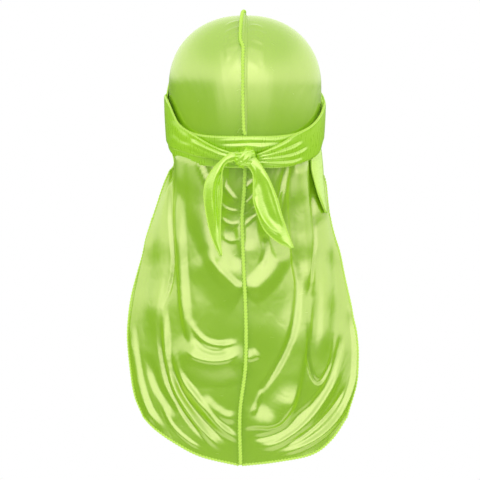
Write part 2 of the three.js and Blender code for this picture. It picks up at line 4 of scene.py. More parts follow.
import bpy
import numpy as np
from bpy.props import FloatProperty, FloatVectorProperty, PointerProperty
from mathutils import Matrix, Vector


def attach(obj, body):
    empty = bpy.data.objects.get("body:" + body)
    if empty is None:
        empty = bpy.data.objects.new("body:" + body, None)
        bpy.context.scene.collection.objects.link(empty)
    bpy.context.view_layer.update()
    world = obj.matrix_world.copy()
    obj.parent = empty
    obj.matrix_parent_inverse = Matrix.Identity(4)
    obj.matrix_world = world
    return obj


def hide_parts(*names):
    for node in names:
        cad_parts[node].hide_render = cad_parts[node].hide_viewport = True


bl_info = {
    "name": "Satin durag",
    "version": (1, 0, 0),
    "blender": (4, 5, 0),
    "location": "3D View > Sidebar > Durag",
    "description": "Dresses a long-tailed satin durag: panels, seam, straps, knot, tie ends and stitching",
    "category": "Object",
}

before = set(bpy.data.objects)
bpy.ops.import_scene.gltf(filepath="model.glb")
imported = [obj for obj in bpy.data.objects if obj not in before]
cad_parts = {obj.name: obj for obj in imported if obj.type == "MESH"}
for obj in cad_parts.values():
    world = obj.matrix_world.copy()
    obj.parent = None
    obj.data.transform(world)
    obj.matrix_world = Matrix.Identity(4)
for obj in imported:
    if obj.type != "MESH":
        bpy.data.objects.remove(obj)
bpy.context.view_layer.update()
BODY = "root"
METRE = 1000  # millimetres, which the shapes below are worked out in
BACKWARDS = np.array([0.0, -1, 0])  # towards the photograph's camera
RIGHTWARDS = np.array([1.0, 0, 0])


def table(titles, *rows):
    """A short table: rows of numbers under the titles of its columns."""
    return [dict(zip(titles.split(), row, strict=True)) for row in rows]



# The photograph's camera: what it aims at and where that lies in its frame of 480 pixels

PHOTO = {
    "size": 480,
    "centre_x": 245,
    "centre_y": 233,
    "distance": 1800,
    "elevation": 3,
    "aim_level": 218,
    "focal": 1775.5,
}
SENSOR = 36

# The head's form and the cut of the durag, in millimetres and in shares of them

HEAD = {"breadth": 75.5, "front": 94, "back": 96, "top": 71, "below": 200, "round": 2.15}
BROW_LEVEL = 86
NAPE_LEVEL = 157
TAIL_HALF_WIDTH = 116
TAIL_DROP = 284
STRAP_WIDTH = 48
PANEL_WALL = 1
STRAP_WALL = 1
CROWN_GAP = 0.7
LAYER_GAP = 0.35
KNOT_LIFT = 4
FACES_CAMERA = (-10, 20)  # how far behind the origin the folds begin and reach their full rise
CRUMPLE = {"rise": 0.35, "size": 14, "seed": 3}
# The centre seam: half widths and heights, how far its foot is sunk, its height under a strap, the
# distance between its rings, and the distance from a strap over which it stands up again
SEAM = {
    "half": 1.2,
    "tape_half": 1.9,
    "tape_rise": 0.7,
    "cloth_half": 0.8,
    "sunk": 0.6,
    "pressed": 0.3,
    "step": 2,
    "clears_from": 0.5,
    "clears_to": 6,
}

SIDE_EDGE = table(
    "along turn level",
    (0, 132, 0.59),
    (0.35, 112, 0.71),
    (0.7, 94, 0.85),
    (1, 80, 0.93),
)
TAIL_EDGE = {
    "left": table(
        "down out fore",
        (0.03, 0.67, 0.25),
        (0.14, 0.76, 0.28),
        (0.28, 0.866, 0.32),
        (0.42, 0.965, 0.36),
        (0.56, 1, 0.41),
        (0.7, 0.97, 0.47),
        (0.78, 0.93, 0.52),
        (0.845, 0.86, 0.57),
    ),
    "right": table(
        "down out fore",
        (0.03, 0.685, 0.25),
        (0.14, 0.69, 0.28),
        (0.28, 0.79, 0.32),
        (0.42, 0.865, 0.36),
        (0.56, 0.935, 0.41),
        (0.7, 0.945, 0.47),
        (0.78, 0.915, 0.52),
        (0.845, 0.865, 0.57),
    ),
}
BOTTOM_HEM = {
    "left": table(
        "step down out",
        (0, 1, 0.04),
        (0.25, 0.97, 0.36),
        (0.5, 0.928, 0.575),
        (0.75, 0.886, 0.745),
        (1, 0.845, 0.86),
    ),
    "right": table(
        "step down out",
        (0, 1, -0.04),
        (0.25, 0.988, 0.25),
        (0.5, 0.966, 0.55),
        (0.75, 0.92, 0.72),
        (1, 0.845, 0.865),
    ),
}
TAIL_SEAM = table(
    "down side fore",
    (0.07, -0.03, 0.88),
    (0.25, -0.02, 0.9),
    (0.5, 0.005, 0.9),
    (0.66, 0, 0.87),
    (0.82, -0.045, 0.84),
    (1, -0.04, 0.8),
)
# The seam's ridge over the crown: height and lean in millimetres, from the brow, 0, to the nape
SEAM_RIDGE = table(
    "over height lean",
    (0, 2.2, 0),
    (0.2, 2.6, -0.4),
    (0.33, 4, -0.8),
    (0.43, 4.4, -0.8),
    (0.5, 5.2, -2),
    (0.6, 5.8, -3.6),
    (0.66, 5.6, -4.6),
    (0.695, 5, -4.4),
    (0.715, 3.4, -2.2),
    (0.75, 3, -2.4),
    (0.85, 2.8, -2.4),
    (1, 2.2, 0),
)
FIRST_PASS = table(
    "travel middle width",
    (-126, 0.53, 0.52),
    (-90, 0.665, 0.72),
    (-60, 0.77, 0.72),
    (-30, 0.845, 0.59),
    (0, 0.862, 0.6),
    (30, 0.845, 0.59),
    (60, 0.77, 0.72),
    (90, 0.665, 0.72),
)
STRAPS = {
    "left": {
        "mirror": 1,
        "before": 0,
        "rows": FIRST_PASS + table(
            "travel middle width",
            (130, 0.49, 0.72),
            (155, 0.455, 0.56),
            (180, 0.452, 0.44),
            (205, 0.462, 0.54),
            (235, 0.56, 0.75),
            (250, 0.6, 0.8),
            (270, 0.64, 0.86),
            (285, 0.655, 0.95),
            (300, 0.7, 0.88),
            (315, 0.771, 0.53),
            (330, 0.819, 0.4),
            (342, 0.857, 0.25),
            (354, 0.895, 0.17),
        ),
    },
    "right": {
        "mirror": -1,
        "before": 1,
        "rows": FIRST_PASS + table(
            "travel middle width",
            (125, 0.41, 0.72),
            (150, 0.305, 0.46),
            (180, 0.3, 0.46),
            (205, 0.36, 0.59),
            (235, 0.55, 0.8),
            (250, 0.6, 0.75),
            (270, 0.66, 0.7),
            (285, 0.672, 0.74),
            (300, 0.749, 0.78),
            (315, 0.802, 0.67),
            (330, 0.847, 0.6),
            (342, 0.882, 0.44),
            (354, 0.91, 0.23),
        ),
    },
}
STRAPS_UNDER = 2  # cloths of strap under each one on its second pass
# Degrees round the head from the nape: where the straps climb on each other, where the second pass
# begins behind, and where they leave for the knot
TRAVEL = {
    "start": -126,
    "brow": 180,
    "rises_from": 150,
    "rises_to": 215,
    "last_from": 225,
    "last_to": 245,
    "leaves_from": 322,
    "end": 354,
}

# Folds: rise in millimetres, and pixels of the photograph for the crest and for how far the cloth
# falls away on its left and right. Where a fold runs across to the right, its left is the side
# under it. Start is the share of the rise that a fold has where its crest begins.
Fold = namedtuple("Fold", "rise left right crest start", defaults=(0,))

TAIL_FOLDS = [
    # left panel: the long strip beside the edge, a low fold outside it and the shade inside it
    Fold(4.5, 14, 10, ((171, 162), (168, 190), (166, 225), (163, 260), (159, 290), (156, 322), (157, 352))),
    Fold(3.4, 3, 9, ((158, 215), (148, 250), (139, 285), (133, 320), (131, 345))),
    Fold(
        -3.4, 2.5, 3,
        ((173.5, 156), (172.5, 180), (173, 207), (174, 235), (174, 262), (170, 290), (163, 312)), 1,
    ),
    # left panel: the swag from the strap down and across to the seam
    Fold(5, 6, 8, ((180, 158), (181, 200), (181, 240), (182, 275), (184, 305), (188, 330), (195, 348)), 0.7),
    Fold(7, 30, 20, ((176, 336), (190, 352), (201, 358), (215, 360), (230, 357), (246, 345))),
    Fold(1.4, 2.5, 4, ((187, 348), (194, 356), (204, 360), (217, 361.5), (230, 359), (240, 352))),
    Fold(1.6, 3, 5, ((190, 318), (197, 334), (209, 343), (224, 345), (240, 342))),
    Fold(-1.4, 4, 4, ((193, 334), (202, 347), (216, 352), (232, 349))),
    # left panel: the fold that runs down to the seam like one arm of a V, and the short ones above it
    Fold(5, 14, 18, ((190, 158), (196, 201), (208, 242), (222, 270), (239, 289)), 0.8),
    Fold(3.2, 30, 8, ((205, 250), (214, 264), (224, 277), (235, 287), (244, 292))),
    Fold(2.2, 2.5, 3, ((197, 157), (203, 172), (209, 186), (215, 200)), 1),
    Fold(-1.8, 2.5, 2.5, ((202, 158), (209, 174), (216, 190)), 1),
    Fold(1.6, 3, 3, ((207, 162), (213, 172), (219, 184)), 1),
    Fold(-2, 12, 7, ((231, 222), (235, 245), (240, 270))),
    # left panel: the lower folds that sweep towards the foot of the seam
    Fold(4.8, 5, 5, ((164, 300), (166, 330), (168, 360), (175, 388), (189, 413), (206, 435), (224, 452))),
    Fold(-3, 4, 4, ((160, 318), (162, 350), (168, 380), (180, 406), (194, 426), (210, 443))),
    Fold(4.6, 5, 6, ((172, 345), (182, 377), (195, 397), (211, 417), (226, 432), (240, 442))),
    Fold(-2.6, 4, 4, ((172, 366), (181, 390), (195, 410), (211, 428), (228, 445))),
    Fold(2.4, 8, 9, ((201, 396), (211, 408), (225, 417), (239, 418))),
    Fold(4, 6, 6, ((131, 318), (135, 352), (141, 386), (150, 412), (164, 433))),
    Fold(-2.8, 7, 7, ((148, 352), (156, 382), (166, 400), (178, 418))),
    Fold(1.5, 3, 3, ((162, 406), (172, 425), (186, 439), (204, 451))),
    # right panel: the strip beside the edge, which ends in a pocket
    Fold(5, 9, 13, ((316, 166), (318, 200), (321, 235), (323, 270), (324, 300), (323, 335), (320, 366)), 0.5),
    Fold(-3.8, 2.5, 3.5, ((309, 158), (310.5, 190), (311, 220), (311.5, 250), (309, 275), (306.5, 305)), 1),
    Fold(
        -3.2, 3, 3,
        ((306.5, 300), (306, 330), (307.5, 358), (312, 376), (318, 382), (324, 376), (331, 358), (333, 325)),
    ),
    # right panel: the long broad fold from the strap to the foot of the seam, and short ones at its top
    Fold(6.5, 10, 9, ((300, 160), (302, 198), (304, 235), (307, 270), (309, 300)), 0.7),
    Fold(5.5, 32, 7, ((309, 285), (306, 325), (300, 362), (292, 402), (281, 427))),
    Fold(5.2, 5, 24, ((241, 427), (257, 425), (269, 425), (280, 420), (291, 402), (297, 380))),
    Fold(
        -3.6, 5, 5,
        ((292, 162), (290, 200), (293, 255), (297, 285), (294, 318), (286, 347), (270, 378), (252, 402)), 0.8,
    ),
    Fold(2.2, 3, 3, ((288, 162), (285, 185), (281, 208), (277, 228)), 1),
    Fold(-2.4, 2.5, 2.5, ((284, 171), (280, 190), (276, 208)), 1),
    Fold(2, 3, 3, ((282, 165), (277, 178), (271, 192)), 1),
    Fold(1.6, 3, 3, ((278, 166), (273, 175), (268, 184)), 1),
    # right panel: the other arm of the V, the shade above it, and small folds low beside the seam
    Fold(4.4, 15, 15, ((246, 297), (256, 288), (268, 276), (277, 262), (284, 246))),
    Fold(-1.8, 5, 5, ((264, 236), (265, 252), (260, 270))),
    Fold(-2.4, 5, 12, ((245, 205), (246, 225), (247, 252))),
    Fold(1.6, 4, 4, ((262, 388), (257, 402), (252, 416))),
    Fold(2.4, 5, 11, ((245, 357), (252, 358), (260, 354))),
    # right panel: the sweep inside the outer edge
    Fold(3.4, 9, 3, ((333, 235), (341, 270), (347, 300), (351, 330))),
    Fold(-2.6, 5, 6, ((340, 330), (338, 350), (328, 380), (312, 404), (293, 423))),
    Fold(
        4.4, 5, 5,
        ((346, 290), (352, 318), (355, 348), (353, 382), (342, 411), (323, 433), (299, 448), (272, 455)),
    ),
    Fold(
        3.4, 4, 7,
        ((342, 352), (335, 376), (327, 394), (316, 411), (302, 426), (288, 437), (272, 445), (254, 446)),
    ),
    Fold(-2.4, 3, 3, ((345, 384), (335, 404), (320, 421), (302, 436), (284, 446))),
    Fold(-2.4, 5, 5, ((311, 400), (298, 416), (284, 430), (266, 437), (250, 438))),
    # both panels: the cloth leans out under the wrap
    Fold(3.6, 30, 55, ((134, 241), (150, 238), (168, 236), (184, 237), (200, 240))),
    Fold(3.6, 30, 55, ((281, 240), (296, 237), (312, 236), (330, 239), (350, 243))),
]
# The herringbone of drag lines on both sides of the seam under the knot
DRAG_LINES = [
    Fold(1.1, 2.5, 2.5, ((225, 166), (231, 171), (239, 173))),
    Fold(2, 4, 4, ((220, 180), (228, 192), (238, 204))),
    Fold(1.1, 2.5, 2.5, ((216, 197), (223, 207), (231, 211), (240, 212))),
    Fold(1.2, 2.5, 2.5, ((219, 216), (225, 222), (232, 225), (240, 223))),
    Fold(1, 3, 3, ((222, 236), (230, 241), (240, 240))),
    Fold(1, 2.5, 2.5, ((243, 176), (249, 171), (256, 166))),
    Fold(1.2, 3, 3, ((243, 190), (250, 184), (257, 178))),
    Fold(1.1, 2.5, 2.5, ((243, 206), (250, 200), (257, 192))),
    Fold(1.1, 2.5, 2.5, ((243, 217), (251, 211), (258, 205))),
    Fold(1.1, 2.5, 2.5, ((243, 228), (252, 219), (260, 214))),
]
# Short puckers beside the leaning seam on top of the crown
CROWN_PUCKERS = [
    Fold(0.9, 2, 2, ((241, 22), (233, 24), (226, 27))),
    Fold(1.1, 2, 2, ((241, 28), (232, 31), (224, 35))),
    Fold(1.2, 2, 2, ((241, 33), (231, 37), (222, 42))),
    Fold(1.4, 2.2, 2.2, ((241, 38), (231, 42), (221, 46))),
    Fold(1.4, 2.2, 2.2, ((241, 43.5), (231, 47), (221, 51))),
    Fold(1.2, 2.2, 2.2, ((241, 49), (232, 53), (223, 57))),
    Fold(0.8, 2.2, 2.2, ((241, 55), (231, 60), (223, 65))),
    Fold(0.5, 3, 3, ((240, 66), (232, 70), (225, 76))),
    Fold(0.9, 2, 2, ((248, 27), (256, 27), (263, 30))),
    Fold(1.2, 2, 2, ((248, 32.5), (257, 33), (266, 36))),
    Fold(1.4, 2.2, 2.2, ((248, 38), (256, 41), (265, 45))),
    Fold(1.2, 2.2, 2.2, ((247, 44), (256, 49), (266, 55))),
    Fold(0.8, 2.2, 2.2, ((247, 51), (256, 57), (266, 63))),
    Fold(0.5, 3, 3, ((246, 61), (254, 67), (262, 73))),
]
STRAP_FOLDS = {
    "left": [
        Fold(1.1, 3, 3, ((186, 132), (203, 141), (216, 148), (228, 155))),
        Fold(1.3, 3, 3, ((191, 141), (204, 147), (217, 153), (230, 158))),
        Fold(-0.8, 2, 2, ((190, 137), (204, 144.5), (217, 151), (230, 157))),
        Fold(1.3, 4, 12, ((182, 142), (200, 151), (216, 157.5), (232, 161))),
        Fold(0.7, 5, 5, ((172, 120), (180, 133), (192, 141))),
        Fold(0.6, 5, 5, ((170, 135), (180, 144), (192, 149))),
    ],
    "right": [
        Fold(1.2, 2.5, 3, ((256, 156), (268, 151.5), (280, 146.5), (294, 139))),
        Fold(-0.8, 1.5, 1.5, ((256, 157), (273, 152.5), (289, 147), (301, 140))),
        Fold(1.2, 2.5, 2.5, ((256, 158), (274, 154), (290, 149.5), (304, 142))),
        Fold(-0.8, 1.5, 1.5, ((256, 159), (280, 156.5), (297, 152), (308, 145))),
        Fold(1.2, 2.5, 2.5, ((256, 160), (276, 158.5), (294, 155.5), (309, 148))),
        Fold(-0.7, 1.5, 1.5, ((256, 161), (274, 161.5), (292, 160.5), (304, 156))),
        Fold(1, 2, 2, ((256, 162.5), (274, 164), (290, 163.5), (304, 159))),
        Fold(0.6, 5, 5, ((300, 132), (310, 124), (319, 112))),
    ],
}
# The strip of the first pass that shows behind the knot
STRIP_FOLDS = [
    Fold(0.5, 2, 2, ((212, 141.5), (230, 141), (250, 140.5), (276, 140.5), (296, 136))),
    Fold(0.6, 3, 3, ((220, 147), (236, 147), (250, 146), (262, 147), (278, 143))),
    Fold(1, 3, 10, ((244, 151), (258, 151), (272, 149.5), (288, 145))),
    Fold(-0.4, 2, 2, ((216, 144), (234, 144), (252, 143.5), (276, 143))),
]
# The lower edge of the wrap, from which the tail's folds open, in pixels of the photograph
WRAP_FOOT = table(
    "x y",
    (160, 140),
    (176, 147.5),
    (195, 154),
    (210, 160),
    (224, 164.5),
    (245, 167),
    (264, 167),
    (289, 165.5),
    (300, 161),
    (309, 157),
    (318, 148),
    (330, 132),
)
OPENING = 9  # pixels under the wrap over which the folds open
HANGS_FREE_BY = 0.2  # share of the tail down to which it hangs straight from the wrap
EDGE_KEEPS = (0.72, 0.95)  # share of the panel's width over which it goes back to its own line
SETTLES_FROM = 0.3  # share of the straight stretch from which it goes back to its own line
# Where the crown's rows lie closer together, as shares of the way from the brow to the nape
PUCKERED = {"extra": 2.2, "from": 0.36, "full": 0.42, "fades": 0.62, "to": 0.72}

# The tie ends between their left and right edges, in pixels of the photograph, from the knot to
# the tip: proud is how far they stand behind the middle of the knot, in millimetres
TIE_ENDS = {
    "left": table(
        "step lx ly rx ry proud",
        (0, 238, 151.5, 240, 160.5, 1.5),
        (0.07, 230, 154, 232.5, 161, 4.5),
        (0.16, 221, 161, 225, 164, 5),
        (0.28, 212.4, 170, 221.6, 172, 4.6),
        (0.4, 205.5, 182.6, 221.4, 183.5, 4.4),
        (0.5, 203.8, 195, 221.4, 194, 4.2),
        (0.62, 205.5, 211, 220.3, 208, 4),
        (0.78, 210, 232, 219.6, 231, 3.8),
        (0.9, 215, 245.5, 220, 245, 3.8),
        (1, 220.4, 256, 221.4, 256.4, 3.8),
    ),
    "right": table(
        "step lx ly rx ry proud",
        (0, 245, 158, 251.5, 155, 2.5),
        (0.08, 247, 165, 257, 161, 5),
        (0.2, 252.5, 174, 265, 173, 5),
        (0.34, 253.2, 188, 271.5, 186, 4.8),
        (0.48, 253.4, 201, 276.8, 200, 4.5),
        (0.64, 258, 216, 281, 215, 4.4),
        (0.8, 265, 231, 286, 230, 4.3),
        (0.92, 278, 242.5, 290, 241, 4.2),
        (1, 291.6, 248.8, 292.8, 248.2, 4.2),
    ),
}
TIE_FOLDS = {
    "left": [
        Fold(3, 7, 2, ((226, 160), (218, 172), (213.5, 184), (212, 198), (213, 214), (215.5, 236))),
        Fold(-1.6, 2, 2, ((230, 161), (221, 173), (216, 187), (215, 204), (216, 222), (218, 240))),
        Fold(1.4, 1.5, 1.5, ((227, 163), (221.5, 175), (219.4, 191), (218.6, 208), (218.6, 230))),
    ],
    "right": [
        Fold(-2.6, 7, 7, ((254, 168), (260, 186), (264, 202), (270, 218), (278, 231))),
        Fold(2.4, 2, 5, ((254, 196), (257.5, 210), (263, 221), (271, 230), (282, 237))),
        Fold(1.6, 3, 2, ((262, 170), (269, 184), (274.5, 199), (279, 214), (284, 230))),
        Fold(1.2, 2, 2, ((250, 162), (255, 174), (255, 190))),
    ],
}
# The right panel's edge turned over beside the wrap, between its stitched line and the outline, in
# pixels of the photograph, and how far behind the origin each of them lies, in millimetres
TURNED_EDGE = table(
    "step lx rx y inner outer",
    (0, 314, 320, 138, 43, 22),
    (0.2, 311.4, 322, 154, 46, 24),
    (0.4, 311.4, 323.3, 168, 49, 27),
    (0.6, 314.6, 324, 182, 52, 31),
    (0.8, 319, 325.4, 197, 52, 36),
    (1, 325.4, 327.4, 213, 46, 40),
)
TURNED_CROWN = 2.5  # how far the turned edge bulges, in millimetres
TIE_CROWN = 1.2  # how far a tie end bulges, in millimetres

KNOT = {"centre_y": -103.6, "level": 141.7, "half_width": 9.6, "half_depth": 7.2, "half_height": 7.6}
KNOT_FILL = 0.94  # share of its extent that the core fills
KNOT_DENTS = table(
    "depth up across",
    (0.09, 9, 4),
    (0.06, -6, 7),
)
# The turns of cloth round the knot: slant in degrees, then offset, width and how far they stand
# proud, in millimetres
KNOT_TURNS = table(
    "slant offset width proud",
    (62, 0.6, 8.5, 1),
    (-24, -3.6, 6.5, 0.3),
    (14, 3.4, 6, 0.2),
)
# Pleats along the turns: rise in millimetres, waves across a turn, and how far they wander
TURN_PLEATS = {"rise": 0.35, "waves": 2, "wander": 2}
TURN_CLOSES = 1.25  # where a turn would narrow to nothing, as a share of the knot's extent there
TURN_LEAST = 0.05  # least square of the share that a turn narrows to

# Overlock: how far each row is sunk in the cloth or stands proud, in millimetres, the strap's inner
# row, pitches as shares of the hem's, and the tie ends' first rows, which the knot hides
STITCH = {
    "hem_sunk": 0.4,
    "edge_sunk": 0.3,
    "edge_pitch": 0.8,
    "row_column": 3,
    "row_proud": 0.05,
    "row_radius": 0.35,
    "row_pitch": 0.7,
    "hidden_rows": 4,
}

# The satins: the weave's scale over their own coordinates, their roughness, the scale of their
# ripples, and how much lighter than the panels they are painted. The straps, knot and turned edge are
# the same satin as the panels; their lift is painted light where these parts catch more light.
SATIN = {
    "panels": {"spread": (0.13, 0.62), "roughness": 0.26, "ripples": 70, "lift": 1},
    "straps": {"spread": (0.04, 0.72), "roughness": 0.28, "ripples": 25, "lift": 1.35},
    "knot": {"spread": (0.02, 0.06), "roughness": 0.3, "ripples": 70, "lift": 1.4},
    "seam": {"spread": (0.01, 0.7), "roughness": 0.45, "ripples": 70, "lift": 1},
}
SHINE_SPREAD = 0.06  # how much the slubs change the roughness
THREADS_A_SCALE = 3.18  # threads over this give the wave texture's scale
THREAD_LIFT = 1.15  # how much lighter the thread's paler tone is

# What the satin reflects: a bright side behind the camera, and a sky that reaches lower on the
# right and is dimmer high up. From and full are directions at which each begins and is complete.
REFLECTED = {
    "dark": 0.02,
    "bright": 2.2,
    "front_from": -0.5,
    "front_full": -0.9,
    "front_share": 0.95,
    "front_foot": 0.09,
    "sky_from": -0.01,
    "sky_full": 0.1,
    "sky_share": 0.6,
    "sky_tilt": 0.045,
    "high_from": 0.3,
    "high_full": 0.8,
    "high_share": 0.7,
}
# Even light on the cloth's own colour, from low and from high directions
SOFT_LIGHT = {"from": -0.4, "full": 0.6, "low": 1.15, "high": 1.2}
FLOOR = {"radius": 0.42, "level": -0.62, "roughness": 0.8}
KEY_LIGHT = {"place": (-0.2, -1.9, 1.9), "width": 3, "height": 2, "watts": 9}
LIGHT_AIM = (0, 0, -0.2)

# How finely each surface is cut
CUT = {
    "panel_columns": 124,
    "crown_rows": 124,
    "tail_rows": 226,
    "strap_columns": 28,
    "strap_step": 1.5,
    "tie_rows": 90,
    "tie_columns": 28,
    "crest_steps": 22,
    "edge_rows": 60,
    "edge_columns": 14,
    "turn_rings": 96,
    "turn_columns": 18,
    "crown_samples": 2000,
    "seam_samples": 400,
    "thread_sides": 12,
    "rings_a_pitch": 5,
}


# Numbers and curves


def smooth(value, low, high):
    """0 at low, 1 at high, and a smooth step between."""
    share = np.clip((np.asarray(value, float) - low) / (high - low), 0, 1)
    return share * share * (3 - 2 * share)


def lerp(a, b, share):
    return a + (b - a) * share


def unit(vectors):
    """Vectors at length 1."""
    return vectors / np.maximum(np.linalg.norm(vectors, axis=-1, keepdims=True), 1e-12)


def read(rows, key, at, column):
    """A column of a table at values of its key column, on a smooth curve through the rows."""
    x = np.array([row[key] for row in rows], float)
    y = np.array([row[column] for row in rows], float)
    at = np.asarray(at, float)
    slopes = np.empty(len(x))
    slopes[1:-1] = (y[2:] - y[:-2]) / (x[2:] - x[:-2])
    slopes[0] = (y[1] - y[0]) / (x[1] - x[0])
    slopes[-1] = (y[-1] - y[-2]) / (x[-1] - x[-2])
    i = np.clip(np.searchsorted(x, at) - 1, 0, len(x) - 2)
    span = x[i + 1] - x[i]
    t = np.clip((at - x[i]) / span, 0, 1)
    square = t * t
    cube = square * t
    return (
        y[i] * (2 * cube - 3 * square + 1)
        + y[i + 1] * (3 * square - 2 * cube)
        + slopes[i] * span * (cube - 2 * square + t)
        + slopes[i + 1] * span * (cube - square)
    )


def points_of(x, y, z):
    """Points from three arrays that fit together."""
    return np.stack(np.broadcast_arrays(x, y, z), -1).astype(float)


def grid_normals(grid):
    """A grid's normals: its rows' direction crossed with its columns'."""
    down = np.gradient(grid, axis=0)
    across = np.gradient(grid, axis=1)
    return unit(np.cross(down, across))


# The photograph's view


def to_photo(points):
    """Where points in millimetres lie in the photograph, in its pixels."""
    tilt = math.radians(PHOTO["elevation"])
    over = points[..., 2] + PHOTO["aim_level"]
    up = points[..., 1] * math.sin(tilt) + over * math.cos(tilt)
    depth = PHOTO["distance"] + points[..., 1] * math.cos(tilt) - over * math.sin(tilt)
    x = PHOTO["centre_x"] + PHOTO["focal"] * points[..., 0] / depth
    y = PHOTO["centre_y"] - PHOTO["focal"] * up / depth
    return np.stack([x, y], -1)


def from_photo(px, py, y):
    """The points at a depth y, in millimetres, that the photograph shows at these pixels."""
    tilt = math.radians(PHOTO["elevation"])
    over = np.zeros(np.broadcast(px, py, y).shape)
    for _ in range(4):
        depth = PHOTO["distance"] + y * math.cos(tilt) - over * math.sin(tilt)
        over = ((PHOTO["centre_y"] - py) * depth / PHOTO["focal"] - y * math.sin(tilt)) / math.cos(tilt)
    x = (px - PHOTO["centre_x"]) * depth / PHOTO["focal"]
    return points_of(x, y, over - PHOTO["aim_level"])


# The head


def power(value):
    return np.abs(value) ** HEAD["round"]


def root(value):
    return np.maximum(value, 0) ** (1 / HEAD["round"])


def reach(points):
    """The head's extent along each axis, on the side where the points lie."""
    y = np.where(points[..., 1] > 0, HEAD["front"], HEAD["back"])
    z = np.where(points[..., 2] > 0, HEAD["top"], HEAD["below"])
    return points_of(HEAD["breadth"], y, z)


def head_normal(points):
    """The head's outward normals at points given from the origin."""
    p = points + np.array([0, 0, HEAD["top"]])
    r = reach(p)
    return unit(np.sign(p) * np.abs(p / r) ** (HEAD["round"] - 1) / r)


def on_head(direction):
    """The head's points in directions from its centre."""
    size = root(np.sum(power(direction / reach(direction)), -1))
    return direction / size[..., None] - np.array([0, 0, HEAD["top"]])


def round_head(turn, level, lift):
    """The head's points at turns from the nape and levels under the origin, raised by a lift."""
    turn, level, lift = np.broadcast_arrays(np.radians(turn), level, lift)
    z = HEAD["top"] - level
    across = np.sin(turn)
    back = np.cos(turn)
    depth = np.where(back < 0, HEAD["front"], HEAD["back"])
    section = root(1 - power(z / np.where(z > 0, HEAD["top"], HEAD["below"])))
    radius = section / root(power(across / HEAD["breadth"]) + power(back / depth))
    points = points_of(radius * across, -radius * back, z - HEAD["top"])
    return points + head_normal(points) * lift[..., None]


# The panels' surface


SIDE = {"left": -1, "right": 1}


def seam_direction(along):
    """Directions from the head's centre along the centre line: 0 at the brow, 1 at the nape."""
    brow = round_head(180, BROW_LEVEL, 0)
    nape = round_head(0, NAPE_LEVEL, 0)
    start = math.atan2(brow[2] + HEAD["top"], brow[1])
    end = math.atan2(nape[2] + HEAD["top"], nape[1]) + 2 * math.pi
    angle = lerp(start, end, np.asarray(along, float))
    return points_of(0, np.cos(angle), np.sin(angle))


def edge_direction(side, along):
    """Directions from the head's centre to the panel's side edge."""
    turn = read(SIDE_EDGE, "along", along, "turn")
    level = read(SIDE_EDGE, "along", along, "level") * NAPE_LEVEL
    return unit(round_head(side * turn, level, 0) + np.array([0, 0, HEAD["top"]]))


def crown_point(side, along, out):
    """The crown's inside: along from the brow to the nape, out from the seam to the side edge."""
    along, out = np.broadcast_arrays(along, out)
    start = seam_direction(along)
    end = edge_direction(side, along)
    angle = np.arccos(np.clip(np.sum(start * end, -1), -1, 1))
    a = np.sin((1 - out) * angle)
    b = np.sin(out * angle)
    points = on_head(unit(start * a[..., None] + end * b[..., None]))
    points[..., 0] += side * SEAM["half"] * (1 - out)
    return points


def tail_point(side, out, down, fore):
    return points_of(side * out * TAIL_HALF_WIDTH, -fore * HEAD["back"], -NAPE_LEVEL - down * TAIL_DROP)


def tail_seam(down):
    """The seam's line down the tail."""
    nape = round_head(0, NAPE_LEVEL, 0)
    rows = [{"down": 0, "side": 0, "fore": -nape[1] / HEAD["back"]}, *TAIL_SEAM]
    return tail_point(1, read(rows, "down", down, "side"), down, read(rows, "down", down, "fore"))


def tail_edge(name, along):
    """The tail's side edge, from the crown's corner to the corner of the hem."""
    start = crown_point(SIDE[name], 1.0, 1.0)
    first = {
        "down": (-start[2] - NAPE_LEVEL) / TAIL_DROP,
        "out": abs(start[0]) / TAIL_HALF_WIDTH,
        "fore": -start[1] / HEAD["back"],
    }
    rows = [first, *TAIL_EDGE[name]]
    down = lerp(first["down"], rows[-1]["down"], along)
    return tail_point(SIDE[name], read(rows, "down", down, "out"), down, read(rows, "down", down, "fore"))


def bottom_hem(name, out):
    """The bottom hem, from the seam to the corner."""
    rows = BOTTOM_HEM[name]
    fore = lerp(TAIL_SEAM[-1]["fore"], TAIL_EDGE[name][-1]["fore"], np.asarray(out) ** 2)
    points = tail_point(SIDE[name], read(rows, "step", out, "out"), read(rows, "step", out, "down"), fore)
    points[..., 0] += SIDE[name] * SEAM["half"] * (1 - np.asarray(out))
    return points


def tail_surface(name, out, down):
    """The tail's inside between its four edges, without folds."""
    side = SIDE[name]
    seam = tail_seam(down) + np.array([side * SEAM["half"], 0, 0])
    out3 = out[..., None]
    down3 = down[..., None]
    return (
        crown_point(side, 1.0, out) * (1 - down3)
        + bottom_hem(name, out) * down3
        + seam * (1 - out3)
        + tail_edge(name, down) * out3
        - crown_point(side, 1.0, 0.0) * (1 - out3) * (1 - down3)
        - crown_point(side, 1.0, 1.0) * out3 * (1 - down3)
        - bottom_hem(name, 0.0) * (1 - out3) * down3
        - bottom_hem(name, 1.0) * out3 * down3
    )


# Folds


def crest_line(crest):
    """A smooth line through a crest's points."""
    rows = [{"at": i, "x": x, "y": y} for i, (x, y) in enumerate(crest)]
    at = np.linspace(0, len(crest) - 1, CUT["crest_steps"] + 1)
    return np.stack([read(rows, "at", at, "x"), read(rows, "at", at, "y")], -1)


